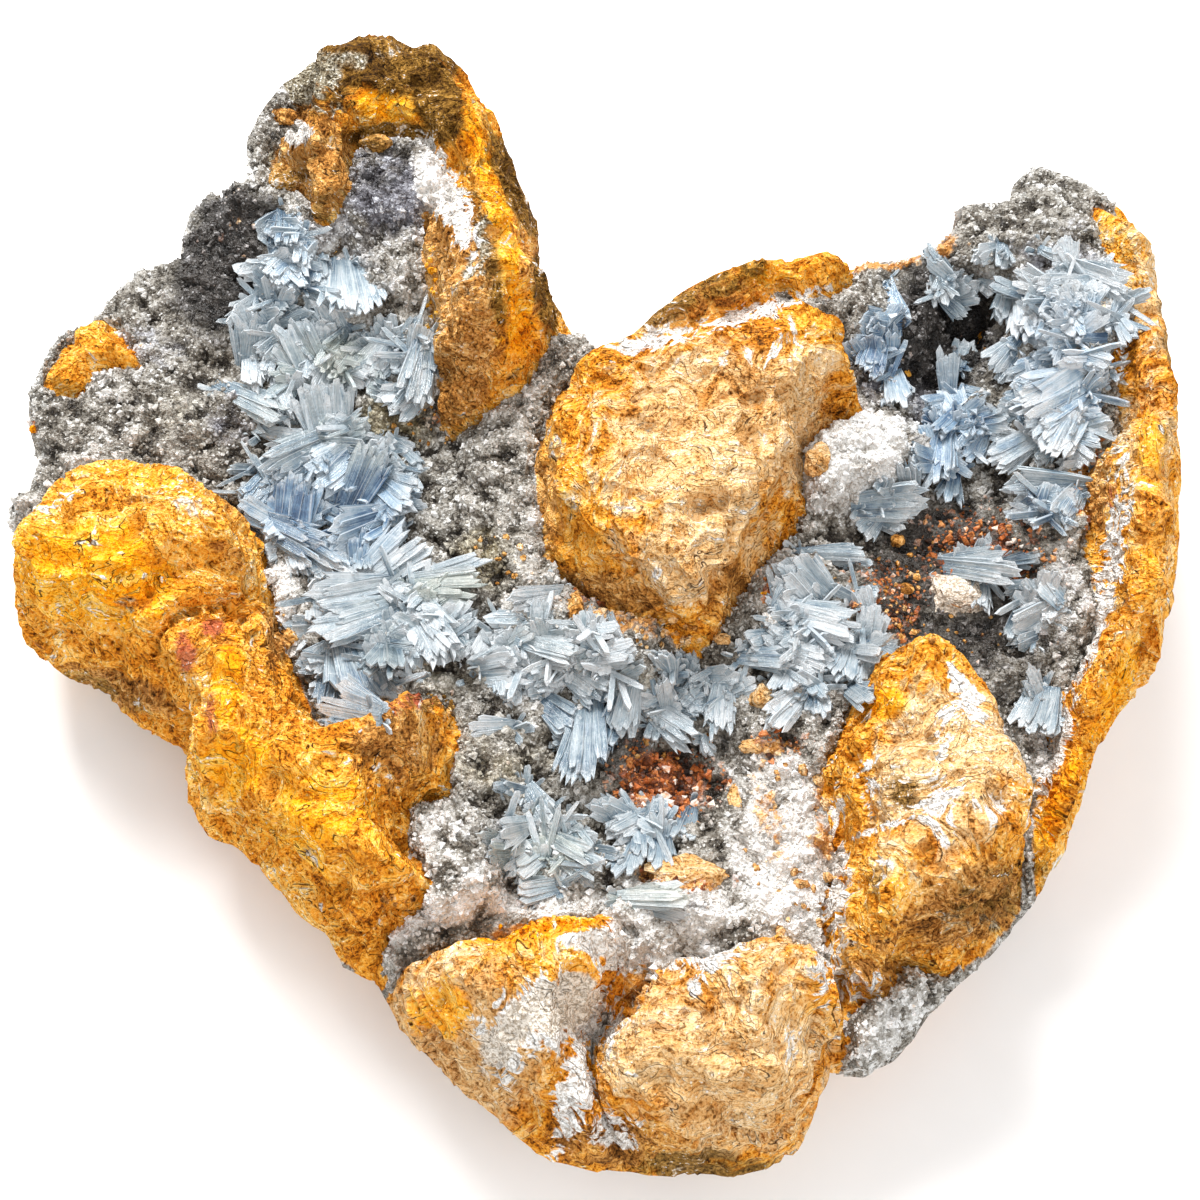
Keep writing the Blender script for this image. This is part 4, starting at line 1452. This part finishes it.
stones = {
    # spot, width in mm, stretch each way, sharpness of the corners and the finish
    "single": [
        ((816, 463), 11.0, (0.8, 1.15, 0.8), 0.2, "pale"), ((955, 598), 19.0, (1.1, 0.8, 0.55), 0.3, "sand"),
        ((769, 622), 5.5, (1, 1, 1), 0.2, "chalk"), ((762, 701), 8.0, (1.0, 1.0, 0.9), 0.9, "pale"),
        ((576, 608), 8.0, (0.6, 1.3, 0.6), 0.5, "earth"), ((897, 542), 5.0, (1, 1, 1), 0.2, "earth"),
        ((688, 875), 21.0, (1.15, 0.5, 0.22), 0.5, "pale"), ((735, 800), 9.0, (0.5, 1.2, 0.3), 0.5, "pale"),
        ((284, 120), 8.5, (1.2, 0.8, 0.8), 0.5, "brown"), ((318, 143), 6.5, (0.8, 1.2, 0.8), 0.5, "brown"),
        ((284, 182), 12.0, (0.9, 1.0, 0.7), 0.6, "brown"), ((328, 178), 17.0, (0.8, 1.2, 0.6), 0.6, "brown"),
        ((322, 212), 8.0, (0.9, 1.0, 0.7), 0.5, "brown"), ((376, 146), 9.0, (1.3, 0.7, 0.7), 0.6, "brown"),
        ((34, 430), 3.0, (1, 1, 1), 0.2, "bright"), ((905, 590), 5.0, (1.2, 0.8, 0.7), 0.4, "earth"),
        ((722, 640), 5.0, (1.2, 0.8, 0.7), 0.4, "pale"), ((752, 748), 6.0, (1.4, 0.7, 0.7), 0.4, "pale"),
        ((282, 600), 5.0, (1, 1, 1), 0.2, "chalk"), ((270, 578), 6.0, (1, 1, 1), 0.2, "chalk"),
        ((290, 640), 6.0, (0.8, 1.2, 0.8), 0.4, "earth"), ((395, 690), 5.0, (1.2, 0.8, 0.8), 0.4, "chalk"),
    ],
    # middle, reach each way, number, smallest and largest width in mm, finish
    "strewn": [
        ((780, 592), (18, 18), 9, 1.5, 3.5, "bright"), ((655, 632), (50, 18), 26, 1.5, 4.0, "pale"),
        ((1100, 474), (16, 48), 34, 1.5, 4.0, "earth"),
        ((462, 330), (26, 90), 90, 1.5, 4.0, "earth"), ((432, 300), (8, 60), 24, 1.5, 3.5, "bright"),
        ((790, 850), (48, 92), 26, 1.5, 5.0, "pale"),
        ((410, 720), (46, 22), 26, 1.5, 3.5, "earth"), ((432, 704), (24, 10), 22, 1.2, 2.6, "brown"), ((281, 628), (10, 22), 12, 1.5, 3.0, "earth"),
        ((950, 600), (90, 60), 46, 1.2, 2.8, "earth"), ((860, 600), (60, 50), 26, 1.2, 2.6, "pale"),
        ((545, 925), (56, 8), 16, 1.5, 4.0, "bright"), ((400, 905), (22, 10), 10, 1.5, 3.0, "earth"),
        ((670, 745), (50, 16), 18, 1.2, 2.6, "earth"), ((430, 425), (40, 22), 16, 1.2, 3.0, "earth"),
        ((500, 560), (30, 30), 14, 1.2, 3.0, "earth"),
    ],
    "seed": 5,
}


# how much of each rock colour a kind of stone wears
stoneLooks = {
    "pale": {"pale": 1.0}, "bright": {"bright": 1.0}, "earth": {"earth": 1.0}, "chalk": {"chalk": 1.0},
    "sand": {"sand": 1.0}, "brown": {"earth": 0.9, "umber": 0.35},
}


def addStone(bm, layers, spot, width, stretch, sharp, finish, dice, rounds):
    made = bmesh.ops.create_icosphere(bm, subdivisions=rounds, radius=0.5)["verts"]
    turn = Matrix.Rotation(dice.uniform(0, 2 * math.pi), 3, Vector(dice.uniform(-1, 1, 3)).normalized())
    lift = Vector(dice.uniform(0, 50, 3))
    for vert in made:
        corner = vert.co / max(abs(vert.co.x), abs(vert.co.y), abs(vert.co.z)) * 0.42
        shaped = vert.co.lerp(corner, sharp)
        bulge = 0.35 * noise.noise(shaped * 3.0 + lift) + 0.15 * noise.noise(shaped * 8.0 + lift)
        shaped = shaped * (1.0 + bulge + 0.10 * noise.noise(shaped * 20.0 + lift))
        shaped = turn @ shaped
        vert.co = spot + Vector((shaped.x * stretch[0], shaped.y * stretch[1], shaped.z * stretch[2])) * width
        for name, layer in layers.items():
            vert[layer] = stoneLooks[finish].get(name, 0.0)


def makeStones(carrier, finish):
    bm = bmesh.new()
    layers = {name: bm.verts.layers.float.new(name) for name in ("pale", "bright", "earth", "umber", "chalk", "sand")}
    dice = np.random.default_rng(stones["seed"])
    for (u, v), width, stretch, sharp, kind in stones["single"]:
        spot, scale = carrier.spot(u, v)
        spot.z += 0.18 * width * mm * stretch[2]
        addStone(bm, layers, spot, width * mm, stretch, sharp, kind, dice, 3)
    for (midU, midV), (reachU, reachV), count, low, high, kind in stones["strewn"]:
        for number in range(count):
            angle, share = dice.uniform(0, 2 * math.pi), math.sqrt(dice.uniform(0, 1))
            u, v = midU + reachU * share * math.cos(angle), midV + reachV * share * math.sin(angle)
            if carrier.heightAt(u, v) is None:
                continue
            spot, scale = carrier.spot(u, v)
            width = (low + (high - low) * dice.uniform(0, 1) ** 2) * mm
            addStone(bm, layers, spot, width, dice.uniform(0.7, 1.3, 3), 0.4, kind, dice, 1)
    bmesh.ops.recalc_face_normals(bm, faces=bm.faces)
    obj = objectFrom("crumbs", bm)
    obj.data.materials.append(finish)
    count = len(obj.data.vertices)
    mark(obj.data, "bareness", np.full(count, 0.01))
    setPoints(obj, np.clip(pointsOf(obj), np.array(cadBox[0]), np.array(cadBox[1])))
    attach(obj, "root")
    print("crumbs:", triangles(obj), "triangles")


stage = {
    "floorReach": 4.0,
    "key": {"place": (-0.30, 0.95, 1.20), "size": 0.70, "power": 40.0},
    "fill": {"place": (0.5, -0.9, 1.2), "size": 1.4, "power": 12.0},
    "sky": 0.66,
}


def floorFinish():
    f = Finish("pale floor")
    speckle = f.grain(f.where, 60.0, 3.0)
    f.feed(Base_Color=f.mix(speckle, tone(246, 246, 246), tone(250, 250, 250)), Roughness=0.8)
    return f.material


def makeStage():
    bm = bmesh.new()
    bmesh.ops.create_grid(bm, x_segments=1, y_segments=1, size=stage["floorReach"])
    floor = objectFrom("floor", bm)
    floor.data.materials.append(floorFinish())
    middle = Vector((0.0, 0.0, 0.05))
    for name in ("key", "fill"):
        light = bpy.data.lights.new(name, "AREA")
        light.energy = stage[name]["power"]
        light.size = stage[name]["size"]
        lamp = newObject(name, light)
        lamp.location = stage[name]["place"]
        lamp.rotation_euler = (middle - lamp.location).to_track_quat("-Z", "Y").to_euler()
    world = bpy.data.worlds.new("soft room")
    world.use_nodes = True
    world.node_tree.nodes["Background"].inputs["Color"].default_value = (1.0, 1.0, 1.0, 1.0)
    world.node_tree.nodes["Background"].inputs["Strength"].default_value = stage["sky"]
    bpy.context.scene.world = world
    bpy.context.scene.view_settings.view_transform = "Standard"


def makeCamera():
    lens = bpy.data.cameras.new("camera")
    lens.sensor_width = 36.0
    lens.lens = lens.sensor_width * picture["reach"] / (2 * picture["middle"])
    camera = newObject("camera", lens)
    camera.location = eye
    camera.rotation_euler = (math.pi / 2 - picture["pitch"], 0.0, 0.0)
    bpy.context.scene.camera = camera


ochre = ochreFinish()
matrixRock = makeRock(ochre)
druseCrust = makeDruse()
carrier = Carrier(matrixRock, druseCrust)
makeBarite(carrier)
makeStones(carrier, ochre)
makeStage()
makeCamera()

print("sizes written")
